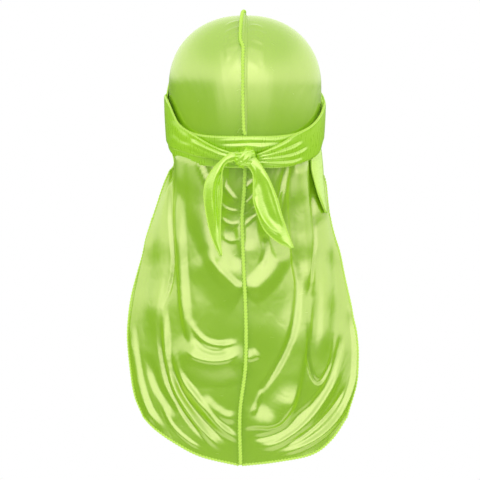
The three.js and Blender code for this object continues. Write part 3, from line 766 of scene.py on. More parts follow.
def fold_rise(places, fold, fade=0.25):
    """How far one fold raises the cloth at places in the photograph."""
    line = crest_line(fold.crest)
    widest = max(fold.left, fold.right)
    near = np.all((places > line.min(0) - widest) & (places < line.max(0) + widest), -1)
    spots = places[near]
    nearest = np.full(len(spots), np.inf)
    at = np.zeros(len(spots))
    left = np.zeros(len(spots), bool)
    for k in range(len(line) - 1):
        step = line[k + 1] - line[k]
        away = spots - line[k]
        share = np.clip(away @ step / (step @ step), 0, 1)
        off = away - share[:, None] * step
        distance = np.hypot(off[:, 0], off[:, 1])
        closer = distance < nearest
        nearest[closer] = distance[closer]
        at[closer] = (k + share[closer]) / (len(line) - 1)
        left[closer] = (step[0] * off[:, 1] - step[1] * off[:, 0])[closer] > 0
    width = np.where(left, fold.left, fold.right)
    profile = 0.5 + 0.5 * np.cos(np.pi * np.minimum(nearest / width, 1))
    ends = smooth(1 - at, 0, fade) * lerp(fold.start, 1, smooth(at, 0, fade))
    rise = np.zeros(len(places))
    rise[near] = fold.rise * profile * ends
    return rise


def relief(points, folds):
    """How far a list of folds raises points that face the photograph's camera."""
    places = to_photo(points).reshape(-1, 2)
    rise = sum(fold_rise(places, fold) for fold in folds)
    return rise.reshape(points.shape[:-1]) * smooth(-points[..., 1], *FACES_CAMERA)


def under_wrap(points):
    """0 under the wrap of straps and 1 a little below its lower edge."""
    places = to_photo(points)
    foot = read(WRAP_FOOT, "x", places[..., 0], "y")
    return smooth(places[..., 1] - foot, 0, OPENING) * smooth(-points[..., 1], *FACES_CAMERA)


def crumple(points, size, seed):
    """Small soft unevenness of limp cloth, mostly between -1 and 1."""
    draw = np.random.default_rng(seed)
    total = np.zeros(points.shape[:-1])
    for _ in range(9):
        wave = draw.normal(size=3) / size
        total += np.sin(points @ wave + draw.uniform(0, 2 * np.pi)) / 3
    return total


def raised(grid, normals, rise):
    return grid + normals * rise[..., None]


def crown_steps():
    """Rows over the crown, closer together where the puckers are."""
    at = np.linspace(0, 1, CUT["crown_samples"] + 1)
    begins = smooth(at, PUCKERED["from"], PUCKERED["full"])
    ends = smooth(-at, -PUCKERED["to"], -PUCKERED["fades"])
    density = 1 + PUCKERED["extra"] * begins * ends
    travelled = np.concatenate([[0], np.cumsum((density[1:] + density[:-1]) / 2)])
    return np.interp(np.linspace(0, travelled[-1], CUT["crown_rows"] + 1), travelled, at)


def panel_grid(name):
    """The panel's outside, from the brow to the bottom hem and from the seam to the side edge."""
    side = SIDE[name]
    out = np.linspace(0, 1, CUT["panel_columns"] + 1)[None, :]
    along = crown_steps()[:, None]
    down = np.linspace(0, 1, CUT["tail_rows"] + 1)[1:, None]
    crown = crown_point(side, along, out)
    tail = tail_surface(name, *np.broadcast_arrays(out, down))
    base = hang_straight(np.concatenate([crown, tail]))
    below = under_wrap(base)
    normals = lerp(head_normal(base), grid_normals(base) * side, below[..., None])
    normals[:, 0, 0] = 0
    normals = unit(normals)
    strength = scene_sizes().fold_strength
    rise = relief(base, TAIL_FOLDS + DRAG_LINES) * strength
    rise = rise + CRUMPLE["rise"] * crumple(base, CRUMPLE["size"], CRUMPLE["seed"])
    rise = rise * below + relief(base, CROWN_PUCKERS)
    return raised(base, normals, PANEL_WALL + rise)


def hang_straight(base):
    """Lets the cloth hang from the wrap in a straight line below it."""
    places = to_photo(base)
    under = places[..., 1] - read(WRAP_FOOT, "x", places[..., 0], "y")
    last = CUT["crown_rows"] + round(HANGS_FREE_BY * CUT["tail_rows"])
    rows = np.arange(last + 1)
    hung = base.copy()
    for j in range(base.shape[1]):
        first = 1 + np.flatnonzero(under[: last + 1, j] < 0)[-1]
        start = np.interp(0, under[first - 1 : first + 1, j], [first - 1, first])
        top = np.array([np.interp(start, rows, base[: last + 1, j, k]) for k in range(3)])
        share = (base[first : last + 1, j, 2] - top[2]) / (base[last, j, 2] - top[2])
        line = lerp(top, base[last, j], np.clip(share, 0, 1)[:, None])
        line[:, 2] = base[first : last + 1, j, 2]
        keep = float(smooth(j / CUT["panel_columns"], *EDGE_KEEPS))
        keep = np.maximum(keep, smooth(share, SETTLES_FROM, 1))[:, None]
        hung[first : last + 1, j] = lerp(line, base[first : last + 1, j], keep)
    return hung


# The straps' surface


def strap_grid(name):
    """The outside of a strap, from its temple to the knot, with its folds."""
    strap = STRAPS[name]
    rows = strap["rows"]
    steps = round((TRAVEL["end"] - TRAVEL["start"]) / CUT["strap_step"])
    travel = np.linspace(TRAVEL["start"], TRAVEL["end"], steps + 1)[:, None]
    share = np.linspace(-0.5, 0.5, CUT["strap_columns"] + 1)[None, :]
    under = lerp(strap["before"], STRAPS_UNDER, smooth(travel, TRAVEL["rises_from"], TRAVEL["rises_to"]))
    leaving = smooth(travel, TRAVEL["leaves_from"], TRAVEL["end"]) * KNOT_LIFT
    lift = PANEL_WALL + CROWN_GAP + under * (STRAP_WALL + LAYER_GAP) + STRAP_WALL + leaving
    middle = read(rows, "travel", travel, "middle") * NAPE_LEVEL
    width = read(rows, "travel", travel, "width") * STRAP_WIDTH
    base = round_head(strap["mirror"] * travel, middle + width * share, lift)
    normals = grid_normals(base) * -strap["mirror"]
    last_pass = smooth(travel, TRAVEL["last_from"], TRAVEL["last_to"])
    rise = relief(base, STRAP_FOLDS[name]) * last_pass
    rise = rise + relief(base, STRIP_FOLDS) * (1 - last_pass) * (name == "right")
    return raised(base, normals, rise)


# Making pieces


def scene_sizes():
    return bpy.context.scene.durag_sizes


def scene_colours():
    return bpy.context.scene.durag_colours


def cloth(name, points):
    """A grid primitive whose vertices are moved to a grid of points in millimetres."""
    rows, columns = points.shape[0] - 1, points.shape[1] - 1
    bpy.ops.object.select_all(action="DESELECT")
    bpy.ops.mesh.primitive_grid_add(x_subdivisions=columns, y_subdivisions=rows, size=1)
    piece = bpy.context.active_object
    piece.name = piece.data.name = name
    flat = np.empty(len(piece.data.vertices) * 3)
    piece.data.vertices.foreach_get("co", flat)
    shares = flat.reshape(-1, 3) + 0.5
    i = np.rint(shares[:, 1] * rows).astype(int)
    j = np.rint(shares[:, 0] * columns).astype(int)
    piece.data.vertices.foreach_set("co", (points[i, j] / METRE).ravel())
    piece.data.update()
    return piece


def thicken(piece, thickness):
    """Gives a sheet its wall, inwards from its faces."""
    bpy.ops.object.modifier_add(type="SOLIDIFY")
    wall = piece.modifiers[-1]
    wall.thickness = thickness
    wall.offset = -1
    bpy.ops.object.modifier_apply(modifier=wall.name)


def weld(piece):
    """Joins a piece's edges and poles that lie on each other."""
    bpy.ops.object.mode_set(mode="EDIT")
    bpy.ops.mesh.select_all(action="SELECT")
    bpy.ops.mesh.remove_doubles(threshold=2e-6)
    bpy.ops.object.mode_set(mode="OBJECT")


def join(pieces, name):
    """Several pieces as one."""
    bpy.ops.object.select_all(action="DESELECT")
    for piece in pieces:
        piece.select_set(True)
    bpy.context.view_layer.objects.active = pieces[0]
    bpy.ops.object.join()
    pieces[0].name = pieces[0].data.name = name
    return pieces[0]


def finished(piece, material, slot, *nodes):
    """Shades a piece, gives it its material and hangs it on the frame."""
    bpy.ops.object.select_all(action="DESELECT")
    piece.select_set(True)
    bpy.context.view_layer.objects.active = piece
    bpy.ops.object.shade_smooth()
    piece.data.materials.clear()
    piece.data.materials.append(material)
    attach(piece, BODY)
    if nodes:
        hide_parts(*nodes)


def evenly(path, step):
    """A path's points at even steps."""
    gaps = np.linalg.norm(np.diff(path, axis=0), axis=1)
    length = np.concatenate([[0], np.cumsum(gaps)])
    at = np.linspace(0, length[-1], max(round(length[-1] / step), 2) + 1)
    return np.stack([np.interp(at, length, path[:, k]) for k in range(3)], -1), at


def rings(path, along, normals, tall, wide):
    """The rings of a closed tube: tall along the normals and wide beside them, each ring a row."""
    tangent = unit(np.gradient(path, axis=0))
    up = unit(normals - tangent * np.sum(normals * tangent, -1, keepdims=True))
    beside = np.cross(tangent, up)
    angle = np.linspace(0, 2 * np.pi, CUT["thread_sides"] + 1)[None, :]
    closes = np.ones(len(path))
    closes[[0, -1]] = 0
    sections = (
        up[:, None, :] * (np.cos(angle) * tall(angle, along) * closes[:, None])[..., None]
        + beside[:, None, :] * (np.sin(angle) * wide(angle, along) * closes[:, None])[..., None]
    )
    points = path[:, None, :] + sections
    points[:, -1] = points[:, 0]
    return points


def thread(name, path, normals, radius, pitch, twist=0.42, flat=0.75):
    """Overlock thread over an edge: a tube with slanting turns, in millimetres."""
    line, at = evenly(path, pitch / CUT["rings_a_pitch"])
    here = np.linspace(0, 1, len(line))
    there = np.linspace(0, 1, len(path))
    turned = np.stack([np.interp(here, there, normals[:, k]) for k in range(3)], -1)
    along = at[:, None]

    def swelling(angle, distance):
        return radius * (1 + twist * np.cos(2 * angle - 2 * np.pi * distance / pitch))

    piece = cloth(name, rings(line, along, turned, lambda a, s: flat * swelling(a, s), swelling))
    places = piece.data.uv_layers.active.data
    spread = np.empty(len(places) * 2)
    places.foreach_get("uv", spread)
    spread[1::2] *= at[-1] / pitch
    places.foreach_set("uv", spread)
    weld(piece)
    return piece


# Materials


def feed(tree, node, values):
    """Sets a node's inputs to numbers and colours, or links them to the sockets that feed them."""
    for title, value in values.items():
        if isinstance(value, bpy.types.NodeSocket):
            tree.links.new(value, node.inputs[title])
        else:
            node.inputs[title].default_value = value
    return node


def added(tree, kind, **values):
    """A new shader node of a kind, with its inputs fed."""
    return feed(tree, tree.nodes.new(f"ShaderNode{kind}"), values)


def math_node(tree, operation, a, b):
    """A math node fed by sockets or numbers."""
    node = tree.nodes.new("ShaderNodeMath")
    node.operation = operation
    return feed(tree, node, {0: a, 1: b}).outputs[0]


def blend(tree, share, first, last):
    """Two colours mixed by a mask."""
    node = tree.nodes.new("ShaderNodeMix")
    node.data_type = "RGBA"
    return feed(tree, node, {"Factor": share, 6: first, 7: last}).outputs[2]


def node_group(name, inputs, outputs):
    """A shader node group with named sockets, a vector first, and its ends."""
    group = bpy.data.node_groups.new(name, "ShaderNodeTree")
    for title, kind, default in [("Vector", "Vector", None), *inputs]:
        socket = group.interface.new_socket(name=title, in_out="INPUT", socket_type=f"NodeSocket{kind}")
        if default is not None:
            socket.default_value = default
    for title, kind in outputs:
        group.interface.new_socket(name=title, in_out="OUTPUT", socket_type=f"NodeSocket{kind}")
    return group, group.nodes.new("NodeGroupInput"), group.nodes.new("NodeGroupOutput")


def satin_weave():
    """Fine slanting floats of satin with the weft's slubs: a height and a mask of their shine."""
    group, start, end = node_group(
        "satin_weave",
        [("Threads", "Float", 2400), ("Slubs", "Float", 90)],
        [("Height", "Float"), ("Shine", "Float")],
    )
    vector = start.outputs["Vector"]
    scale = math_node(group, "DIVIDE", start.outputs["Threads"], THREADS_A_SCALE)
    floats = added(group, "TexWave", Vector=vector, Scale=scale, Distortion=0.6, Detail=1)
    floats.bands_direction = "DIAGONAL"
    stretch = added(group, "Mapping", Vector=vector, Scale=(1, 7, 1))
    slubs = added(group, "TexNoise", Vector=stretch.outputs[0], Scale=start.outputs["Slubs"], Detail=3)
    faint = math_node(group, "MULTIPLY", slubs.outputs["Fac"], 0.05)
    height = math_node(group, "ADD", math_node(group, "MULTIPLY", floats.outputs["Fac"], 0.5), faint)
    feed(group, end, {"Height": height, "Shine": slubs.outputs["Fac"]})
    return group


def silk_ripples():
    """Small ripples across limp silky cloth, which fray the edges of its highlights."""
    group, start, end = node_group("silk_ripples", [("Scale", "Float", 90)], [("Height", "Float")])
    stretch = added(group, "Mapping", Vector=start.outputs["Vector"], Scale=(1.5, 0.6, 1))
    noise = added(group, "TexNoise", Vector=stretch.outputs[0], Scale=start.outputs["Scale"])
    feed(group, noise, {"Detail": 1.5, "Roughness": 0.45, "Distortion": 0.5})
    feed(group, end, {"Height": noise.outputs["Fac"]})
    return group


def dyed_tone():
    """Unevenness of dyed cloth: mixes two colours by soft clouds and fine mottling."""
    group, start, end = node_group(
        "dyed_tone",
        [
            ("Deep", "Color", (0.2, 0.5, 0.02, 1)),
            ("Pale", "Color", (0.4, 0.7, 0.06, 1)),
            ("Clouds", "Float", 18),
            ("Mottle", "Float", 700),
        ],
        [("Colour", "Color")],
    )
    vector = start.outputs["Vector"]
    masks = []
    for title, detail, share in (("Clouds", 3, 0.75), ("Mottle", 1, 0.25)):
        noise = added(group, "TexNoise", Vector=vector, Scale=start.outputs[title], Detail=detail)
        masks.append(math_node(group, "MULTIPLY", noise.outputs["Fac"], share))
    mask = math_node(group, "ADD", *masks)
    feed(group, end, {"Colour": blend(group, mask, start.outputs["Deep"], start.outputs["Pale"])})
    return group


def stitch_turns():
    """The slanting turns of an overlock: 0 in the grooves and 1 on the threads; the thread's material paints
    shade into the grooves by it.
    """
    group, start, end = node_group("stitch_turns", [("Depth", "Float", 1)], [("Mask", "Float")])
    split = added(group, "SeparateXYZ", Vector=start.outputs["Vector"])
    turns = math_node(group, "SUBTRACT", split.outputs["X"], split.outputs["Y"])
    wave = math_node(group, "COSINE", math_node(group, "MULTIPLY", turns, 2 * math.pi), 0)
    lifted = math_node(group, "ADD", math_node(group, "MULTIPLY", wave, 0.5), 0.5)
    feed(group, end, {"Mask": math_node(group, "POWER", lifted, start.outputs["Depth"])})
    return group


def use_group(tree, maker, vector, **values):
    """A maker's node group, made the first time that it is used, with a material's own values."""
    name = maker.__name__
    node = tree.nodes.new("ShaderNodeGroup")
    node.node_tree = bpy.data.node_groups[name] if name in bpy.data.node_groups else maker()
    return feed(tree, node, {"Vector": vector, **values})


def new_material(name):
    """A new material, its tree and its shader."""
    material = bpy.data.materials.new(name)
    material.use_nodes = True
    return material, material.node_tree, material.node_tree.nodes["Principled BSDF"]


def satin(kind):
    """Glossy satin: a smooth sheen over dyed cloth, with ripples and a fine weave; its lift paints lighter
    copies of it, as painted light.
    """
    name = f"satin_{kind}"
    if name in bpy.data.materials:
        return bpy.data.materials[name]
    look = SATIN[kind]
    colours = scene_colours()
    material, tree, shader = new_material(name)
    place = tree.nodes.new("ShaderNodeTexCoord")
    spread = added(tree, "Mapping", Vector=place.outputs["UV"], Scale=(*look["spread"], 1))
    weave = use_group(tree, satin_weave, spread.outputs[0])
    ripples = use_group(tree, silk_ripples, spread.outputs[0], Scale=look["ripples"])
    # Painted light: the lift makes the straps' and knot's copies of the satin lighter than the same cloth on
    # the panels.
    deep = tuple(look["lift"] * c for c in colours.satin_deep)
    pale = tuple(look["lift"] * c for c in colours.satin_pale)
    tone = use_group(tree, dyed_tone, place.outputs["Object"], Deep=(*deep, 1), Pale=(*pale, 1))
    uneven = math_node(tree, "MULTIPLY", weave.outputs["Shine"], SHINE_SPREAD)
    waves = added(tree, "Bump", Height=ripples.outputs["Height"], Distance=0.002, Strength=0.15)
    threads = added(tree, "Bump", Height=weave.outputs["Height"], Distance=0.0001, Strength=0.02)
    feed(tree, threads, {"Normal": waves.outputs[0]})
    feed(tree, shader, {
        "Base Color": tone.outputs["Colour"],
        "Roughness": math_node(tree, "ADD", uneven, look["roughness"] - SHINE_SPREAD / 2),
        "Normal": threads.outputs[0],
        "Specular IOR Level": 1,
        "IOR": 2.1,
        "Specular Tint": (*colours.gloss, 1),
        "Sheen Weight": 0.03,
        "Sheen Roughness": 0.4,
        "Sheen Tint": (*colours.sheen, 1),
    })
    return material


def sewing_thread():
    """Matt filament thread, a little brighter than the cloth, with painted shade darkening the grooves
    between its turns.
    """
    name = "overlock_thread"
    if name in bpy.data.materials:
        return bpy.data.materials[name]
    colours = scene_colours()
    material, tree, shader = new_material(name)
    place = tree.nodes.new("ShaderNodeTexCoord")
    tone = use_group(tree, dyed_tone, place.outputs["Object"], Clouds=60, Mottle=1500)
    pale = tuple(min(1, THREAD_LIFT * c) for c in colours.thread)
    feed(tree, tone, {"Deep": (*colours.thread, 1), "Pale": (*pale, 1)})
    turns = use_group(tree, stitch_turns, place.outputs["UV"], Depth=1.2)
    feed(tree, shader, {
        # Painted shade: the grooves between the thread's turns are coloured darker where shade would fall.
        "Base Color": blend(tree, turns.outputs["Mask"], (*colours.groove, 1), tone.outputs["Colour"]),
        "Roughness": 0.6,
        "Sheen Weight": 0.4,
        "Sheen Tint": (*colours.sheen, 1),
    })
    return material


def plain_material(name, colour, roughness):
    material, tree, shader = new_material(name)
    feed(tree, shader, {"Base Color": (*colour, 1), "Roughness": roughness})
    return material


# Properties


class DuragSizes(bpy.types.PropertyGroup):
    """Sizes of the cloth and its stitching."""

    panel_thickness: FloatProperty(
        name="Panel thickness",
        description="Wall of the satin panels",
        default=0.0008, min=0.0002, unit="LENGTH",
    )
    strap_thickness: FloatProperty(
        name="Strap thickness",
        description="Wall of the straps and tie ends",
        default=0.0008, min=0.0002, unit="LENGTH",
    )
    hem_thread: FloatProperty(
        name="Hem thread",
        description="Radius of the overlock on the panels' hems",
        default=0.0011, min=0.0002, unit="LENGTH",
    )
    strap_thread: FloatProperty(
        name="Strap thread",
        description="Radius of the overlock on the straps",
        default=0.0007, min=0.0002, unit="LENGTH",
    )
    seam_thread: FloatProperty(
        name="Seam thread",
        description="Radius of the overlock on the centre seam",
        default=0.0015, min=0.0002, unit="LENGTH",
    )
    stitch_pitch: FloatProperty(
        name="Stitch pitch",
        description="Length of one overlock stitch",
        default=0.0032, min=0.0005, unit="LENGTH",
    )
    fold_strength: FloatProperty(
        name="Fold strength",
        description="How high the tail's folds stand, as a share",
        default=0.7, min=0, subtype="FACTOR",
    )


class DuragColours(bpy.types.PropertyGroup):
    """Colours of the cloth, the thread, the painted shade in the thread's grooves, and the studio."""

    satin_deep: FloatVectorProperty(
        name="Satin, deep",
        description="Darker tone of the dyed satin",
        default=(0.22, 0.5, 0.003), subtype="COLOR",
    )
    satin_pale: FloatVectorProperty(
        name="Satin, pale",
        description="Lighter tone of the dyed satin",
        default=(0.31, 0.6, 0.006), subtype="COLOR",
    )
    sheen: FloatVectorProperty(
        name="Sheen",
        description="Tint of the cloth's sheen",
        default=(0.85, 1, 0.55), subtype="COLOR",
    )
    gloss: FloatVectorProperty(
        name="Gloss",
        description="Tint of the satin's reflections",
        default=(1, 0.82, 0.6), subtype="COLOR",
    )
    thread: FloatVectorProperty(
        name="Thread", description="Overlock thread", default=(0.46, 0.76, 0.07), subtype="COLOR"
    )
    # Painted shade: the darker colour painted into the thread's grooves where shade falls.
    groove: FloatVectorProperty(
        name="Thread grooves",
        description="Shade between the stitches",
        default=(0.16, 0.4, 0.01), subtype="COLOR",
    )
    floor: FloatVectorProperty(
        name="Floor", description="Studio floor", default=(0.85, 0.85, 0.84), subtype="COLOR"
    )


# Operators


class PanelsOperator(bpy.types.Operator):
    """Makes the two satin panels from the brow over the crown to the hem of the tail"""

    bl_idname = "durag.panels"
    bl_label = "Panels"

    def execute(self, context):
        for name, side in SIDE.items():
            grid = panel_grid(name)
            piece = cloth(f"satin_panel_{name}", grid[:, ::-side])
            thicken(piece, scene_sizes().panel_thickness)
            finished(piece, satin("panels"), "satin", f"panel_{name}")
        return {"FINISHED"}


class SeamOperator(bpy.types.Operator):
    """Makes the centre seam: the leaning allowance and the overlock along its crest"""

    bl_idname = "durag.seam"
    bl_label = "Centre seam"

    def execute(self, context):
        sizes = scene_sizes()
        path, normals, height, lean = seam_path()
        tilt = lean[:, None] * RIGHTWARDS + np.sqrt(height**2 - lean**2)[:, None] * normals
        foot = path - normals * SEAM["sunk"]
        crest = foot + tilt
        middle = (foot + crest) / 2
        half = np.linalg.norm(crest - foot, axis=1)[:, None] / 2
        allowance = rings(middle, None, unit(tilt), lambda a, s: half, lambda a, s: SEAM["cloth_half"])
        tape = rings(path, None, normals, lambda a, s: SEAM["tape_rise"], lambda a, s: SEAM["tape_half"])
        piece = join([cloth("seam_allowance", allowance), cloth("seam_tape", tape)], "seam_allowance")
        weld(piece)
        finished(piece, satin("seam"), "satin")
        radius = sizes.seam_thread * METRE
        overlock = thread("seam_overlock", crest, unit(tilt), radius, sizes.stitch_pitch * METRE, flat=0.8)
        finished(overlock, sewing_thread(), "overlock_thread", "centre_seam")
        return {"FINISHED"}


def seam_path():
    """The seam's line between the panels, its normals, and the ridge's height and lean."""
    edges = [panel_grid(name)[:, 0] for name in SIDE]
    path, _ = evenly((edges[0] + edges[1]) / 2, SEAM["step"])
    tangent = np.gradient(path, axis=0)
    normals = unit(np.cross(tangent, RIGHTWARDS))
    over = np.linspace(0, 1, CUT["seam_samples"] + 1)
    crown = on_head(seam_direction(over))
    angle = np.unwrap(np.arctan2(crown[:, 2] + HEAD["top"], crown[:, 1]))
    here = np.unwrap(np.arctan2(path[:, 2] + HEAD["top"], path[:, 1]))
    at = np.interp(here, angle, over)
    at[path[:, 2] < -NAPE_LEVEL] = 1
    free = free_of_straps(path)
    low = SEAM["pressed"]
    height = low + (read(SEAM_RIDGE, "over", at, "height") - low) * free
    return path, normals, height, read(SEAM_RIDGE, "over", at, "lean") * free


def free_of_straps(path):
    """0 where a strap presses the seam flat and 1 well clear of the straps."""
    level = -path[:, 2]
    clear = np.full(len(path), np.inf)
    behind = path[:, 1] < 0
    crossings = ((0, behind), (TRAVEL["brow"], path[:, 1] > 0), (TRAVEL["end"], behind))
    for strap in STRAPS.values():
        for travel, here in crossings:
            middle = read(strap["rows"], "travel", travel, "middle") * NAPE_LEVEL
            half = read(strap["rows"], "travel", travel, "width") * STRAP_WIDTH / 2
            clear = np.where(here, np.minimum(clear, np.abs(level - middle) - half), clear)
    return smooth(clear, SEAM["clears_from"], SEAM["clears_to"])


class StrapsOperator(bpy.types.Operator):
    """Makes the two straps, each a lap and a half round the head from its temple to the knot"""

    bl_idname = "durag.straps"
    bl_label = "Straps"

    def execute(self, context):
        for name in STRAPS:
            grid = strap_grid(name)
            outwards = grid if STRAPS[name]["mirror"] < 0 else grid[:, ::-1]
            piece = cloth(f"satin_strap_{name}", outwards)
            thicken(piece, scene_sizes().strap_thickness)
            finished(piece, satin("straps"), "satin", f"strap_{name}")
        return {"FINISHED"}


def tie_grid(name):
    """The outside of a tie end between its two edges, from the knot to the tip."""
    rows = TIE_ENDS[name]
    step = np.linspace(0, 1, CUT["tie_rows"] + 1)[:, None]
    share = np.linspace(0, 1, CUT["tie_columns"] + 1)[None, :]
    px = lerp(read(rows, "step", step, "lx"), read(rows, "step", step, "rx"), share)
    py = lerp(read(rows, "step", step, "ly"), read(rows, "step", step, "ry"), share)
    proud = read(rows, "step", step, "proud") + TIE_CROWN * np.sin(np.pi * share)
    base = from_photo(px, py, KNOT["centre_y"] - proud)
    return raised(base, BACKWARDS, relief(base, TIE_FOLDS[name]))


def turned_grid():
    """The turned edge between its stitched line and the outline, from under the strap downwards."""
    step = np.linspace(0, 1, CUT["edge_rows"] + 1)[:, None]
    share = np.linspace(0, 1, CUT["edge_columns"] + 1)[None, :]
    px = lerp(read(TURNED_EDGE, "step", step, "lx"), read(TURNED_EDGE, "step", step, "rx"), share)
    py = np.broadcast_to(read(TURNED_EDGE, "step", step, "y"), px.shape)
    inner = read(TURNED_EDGE, "step", step, "inner")
    depth = lerp(inner, read(TURNED_EDGE, "step", step, "outer"), share**1.5)
    return from_photo(px, py, -depth - TURNED_CROWN * np.sin(np.pi * share))


class TurnedEdgeOperator(bpy.types.Operator):
    """Makes the turned-over edge of the right panel with its stitched line"""

    bl_idname = "durag.turned_edge"
    bl_label = "Turned edge"

    def execute(self, context):
        sizes = scene_sizes()
        grid = turned_grid()
        piece = cloth("satin_turned_edge", grid[::-1])
        thicken(piece, sizes.panel_thickness)
        # Painted light: the turned edge is panel cloth given the straps' lighter satin.
        finished(piece, satin("straps"), "satin")
        facing = np.broadcast_to(BACKWARDS, grid[:, 0].shape)
        pitch = sizes.stitch_pitch * METRE * STITCH["edge_pitch"]
        line = thread("turned_stitching", grid[:, 0], facing, sizes.strap_thread * METRE, pitch)
        finished(line, sewing_thread(), "overlock_thread")
        return {"FINISHED"}


class TieEndsOperator(bpy.types.Operator):
    """Makes the two free ends of the straps that hang from the knot"""

    bl_idname = "durag.tie_ends"
    bl_label = "Tie ends"

    def execute(self, context):
        for name in TIE_ENDS:
            piece = cloth(f"satin_tie_end_{name}", tie_grid(name)[::-1])
            thicken(piece, scene_sizes().strap_thickness)
            finished(piece, satin("straps"), "satin", f"tie_end_{name}")
        return {"FINISHED"}


class KnotOperator(bpy.types.Operator):
    """Makes the knot: a crumpled core with turns of cloth drawn round it"""

    bl_idname = "durag.knot"
    bl_label = "Knot"

    def execute(self, context):
        centre = np.array([0, KNOT["centre_y"], -KNOT["level"]])
        extent = np.array([KNOT["half_width"], KNOT["half_depth"], KNOT["half_height"]])
        bpy.ops.object.select_all(action="DESELECT")
        bpy.ops.mesh.primitive_uv_sphere_add(segments=72, ring_count=48, radius=1)
        core = bpy.context.active_object
        flat = np.empty(len(core.data.vertices) * 3)
        core.data.vertices.foreach_get("co", flat)
        ball = flat.reshape(-1, 3)
        dents = sum(d["depth"] * np.cos(d["up"] * ball[:, 2] + d["across"] * ball[:, 0]) for d in KNOT_DENTS)
        points = centre + ball * extent * (KNOT_FILL + dents * (1 - ball[:, 1] ** 4))[:, None]
        core.data.vertices.foreach_set("co", (points / METRE).ravel())
        core.data.update()
        parts = [core]
        for k, turn in enumerate(KNOT_TURNS):
            part = cloth(f"knot_turn_{k}", knot_turn(centre, extent, turn)[:, ::-1])
            thicken(part, scene_sizes().strap_thickness)
            parts.append(part)
        knot = join(parts, "satin_knot")
        finished(knot, satin("knot"), "satin", "knot")
        return {"FINISHED"}


def knot_turn(centre, extent, turn):
    """A band of cloth round the knot with folds along it."""
    round_it = np.linspace(0, 2 * np.pi, CUT["turn_rings"] + 1)[:, None]
    share = np.linspace(-0.5, 0.5, CUT["turn_columns"] + 1)[None, :]
    slant = math.radians(turn["slant"])
    along = np.array([math.cos(slant), 0, math.sin(slant)])
    across = np.array([-math.sin(slant), 0, math.cos(slant)])
    shift = turn["offset"] + turn["width"] * share
    direction = (
        np.cos(round_it)[..., None] * along * np.ones_like(share)[..., None]
        + np.sin(round_it)[..., None] * BACKWARDS * np.ones_like(share)[..., None]
    )
    offset = (shift * np.ones_like(round_it))[..., None] * across
    span = extent @ np.abs(across)
    shrink = np.sqrt(np.clip(1 - (shift / (span * TURN_CLOSES)) ** 2, TURN_LEAST, 1))
    waves = 2 * np.pi * TURN_PLEATS["waves"] * share + TURN_PLEATS["wander"] * np.sin(round_it)
    pleats = TURN_PLEATS["rise"] * np.cos(waves)
    radius = shrink[..., None] * extent + (turn["proud"] + pleats)[..., None]
    return centre + offset + direction * radius


class StitchingOperator(bpy.types.Operator):
    """Makes the overlock on the panels' hems, the straps and the tie ends"""

    bl_idname = "durag.stitching"
    bl_label = "Stitching"

    def execute(self, context):
        sizes = scene_sizes()
        pitch = sizes.stitch_pitch * METRE
        for name in SIDE:
            hem_stitching(name, sizes.hem_thread * METRE, pitch)
        for name in STRAPS:
            strap_stitching(name, sizes.strap_thread * METRE, pitch)
        for name in TIE_ENDS:
            tie_stitching(name, sizes.strap_thread * METRE, pitch)
        return {"FINISHED"}


def hem_stitching(name, radius, pitch):
    """Overlock along a panel's brow, side edge and bottom hem."""
    grid = panel_grid(name)
    normals = grid_normals(grid) * SIDE[name]
    path, facing = (np.concatenate([part[0, :-1], part[:, -1], part[-1, -2::-1]]) for part in (grid, normals))
    hem = thread(f"hem_stitching_{name}", path - STITCH["hem_sunk"] * facing, facing, radius, pitch)
    finished(hem, sewing_thread(), "overlock_thread")


def edge_threads(title, grid, normals, radius, pitch):
    """Overlock along both long edges of a strap or tie end."""
    threads = []
    for k, column in enumerate((0, -1)):
        facing = normals[:, column]
        path = grid[:, column] - STITCH["edge_sunk"] * facing
        threads.append(thread(f"{title}_{k}", path, facing, radius, pitch * STITCH["edge_pitch"]))
    return threads


def strap_stitching(name, radius, pitch):
    """Overlock along a strap's edges and a row inside one of them."""
    grid = strap_grid(name)
    normals = grid_normals(grid) * -STRAPS[name]["mirror"]
    parts = edge_threads("strap_edge", grid, normals, radius, pitch)
    facing = normals[:, STITCH["row_column"]]
    path = grid[:, STITCH["row_column"]] + STITCH["row_proud"] * facing
    row = thread("strap_row", path, facing, STITCH["row_radius"], pitch * STITCH["row_pitch"])
    edging = join([*parts, row], f"strap_stitching_{name}")
    finished(edging, sewing_thread(), "overlock_thread")


def tie_stitching(name, radius, pitch):
    """Overlock along a tie end's edges below the knot."""
    grid = tie_grid(name)[STITCH["hidden_rows"] :]
    parts = edge_threads("tie_edge", grid, np.broadcast_to(BACKWARDS, grid.shape), radius, pitch)
    edging = join(parts, f"tie_stitching_{name}")
    finished(edging, sewing_thread(), "overlock_thread")


class StageOperator(bpy.types.Operator):
    """Makes the studio: floor, soft lights, surroundings and the camera"""

    bl_idname = "durag.stage"
    bl_label = "Studio"

    def execute(self, context):
        bpy.ops.object.select_all(action="DESELECT")
        place = (0, 0, FLOOR["level"])
        bpy.ops.mesh.primitive_circle_add(
            vertices=96, radius=FLOOR["radius"], fill_type="NGON", location=place
        )
        floor = context.active_object
        floor.name = "studio_floor"
        floor.data.materials.append(plain_material("studio_floor", scene_colours().floor, FLOOR["roughness"]))
        soft_light("key_light", KEY_LIGHT)
        surroundings()
        photo_camera()
        return {"FINISHED"}


def pointed_at(location, target):
    """The turn of a lamp or camera at a place that looks at a target."""
    return (Vector(target) - Vector(location)).to_track_quat("-Z", "Y").to_euler()


def soft_light(name, light):
    """A softbox that faces the middle of the durag."""
    bpy.ops.object.light_add(type="AREA", location=light["place"])
    lamp = bpy.context.active_object
    lamp.name = name
    lamp.rotation_euler = pointed_at(light["place"], LIGHT_AIM)
    lamp.data.shape = "RECTANGLE"
    lamp.data.size = light["width"]
    lamp.data.size_y = light["height"]
    lamp.data.energy = light["watts"]


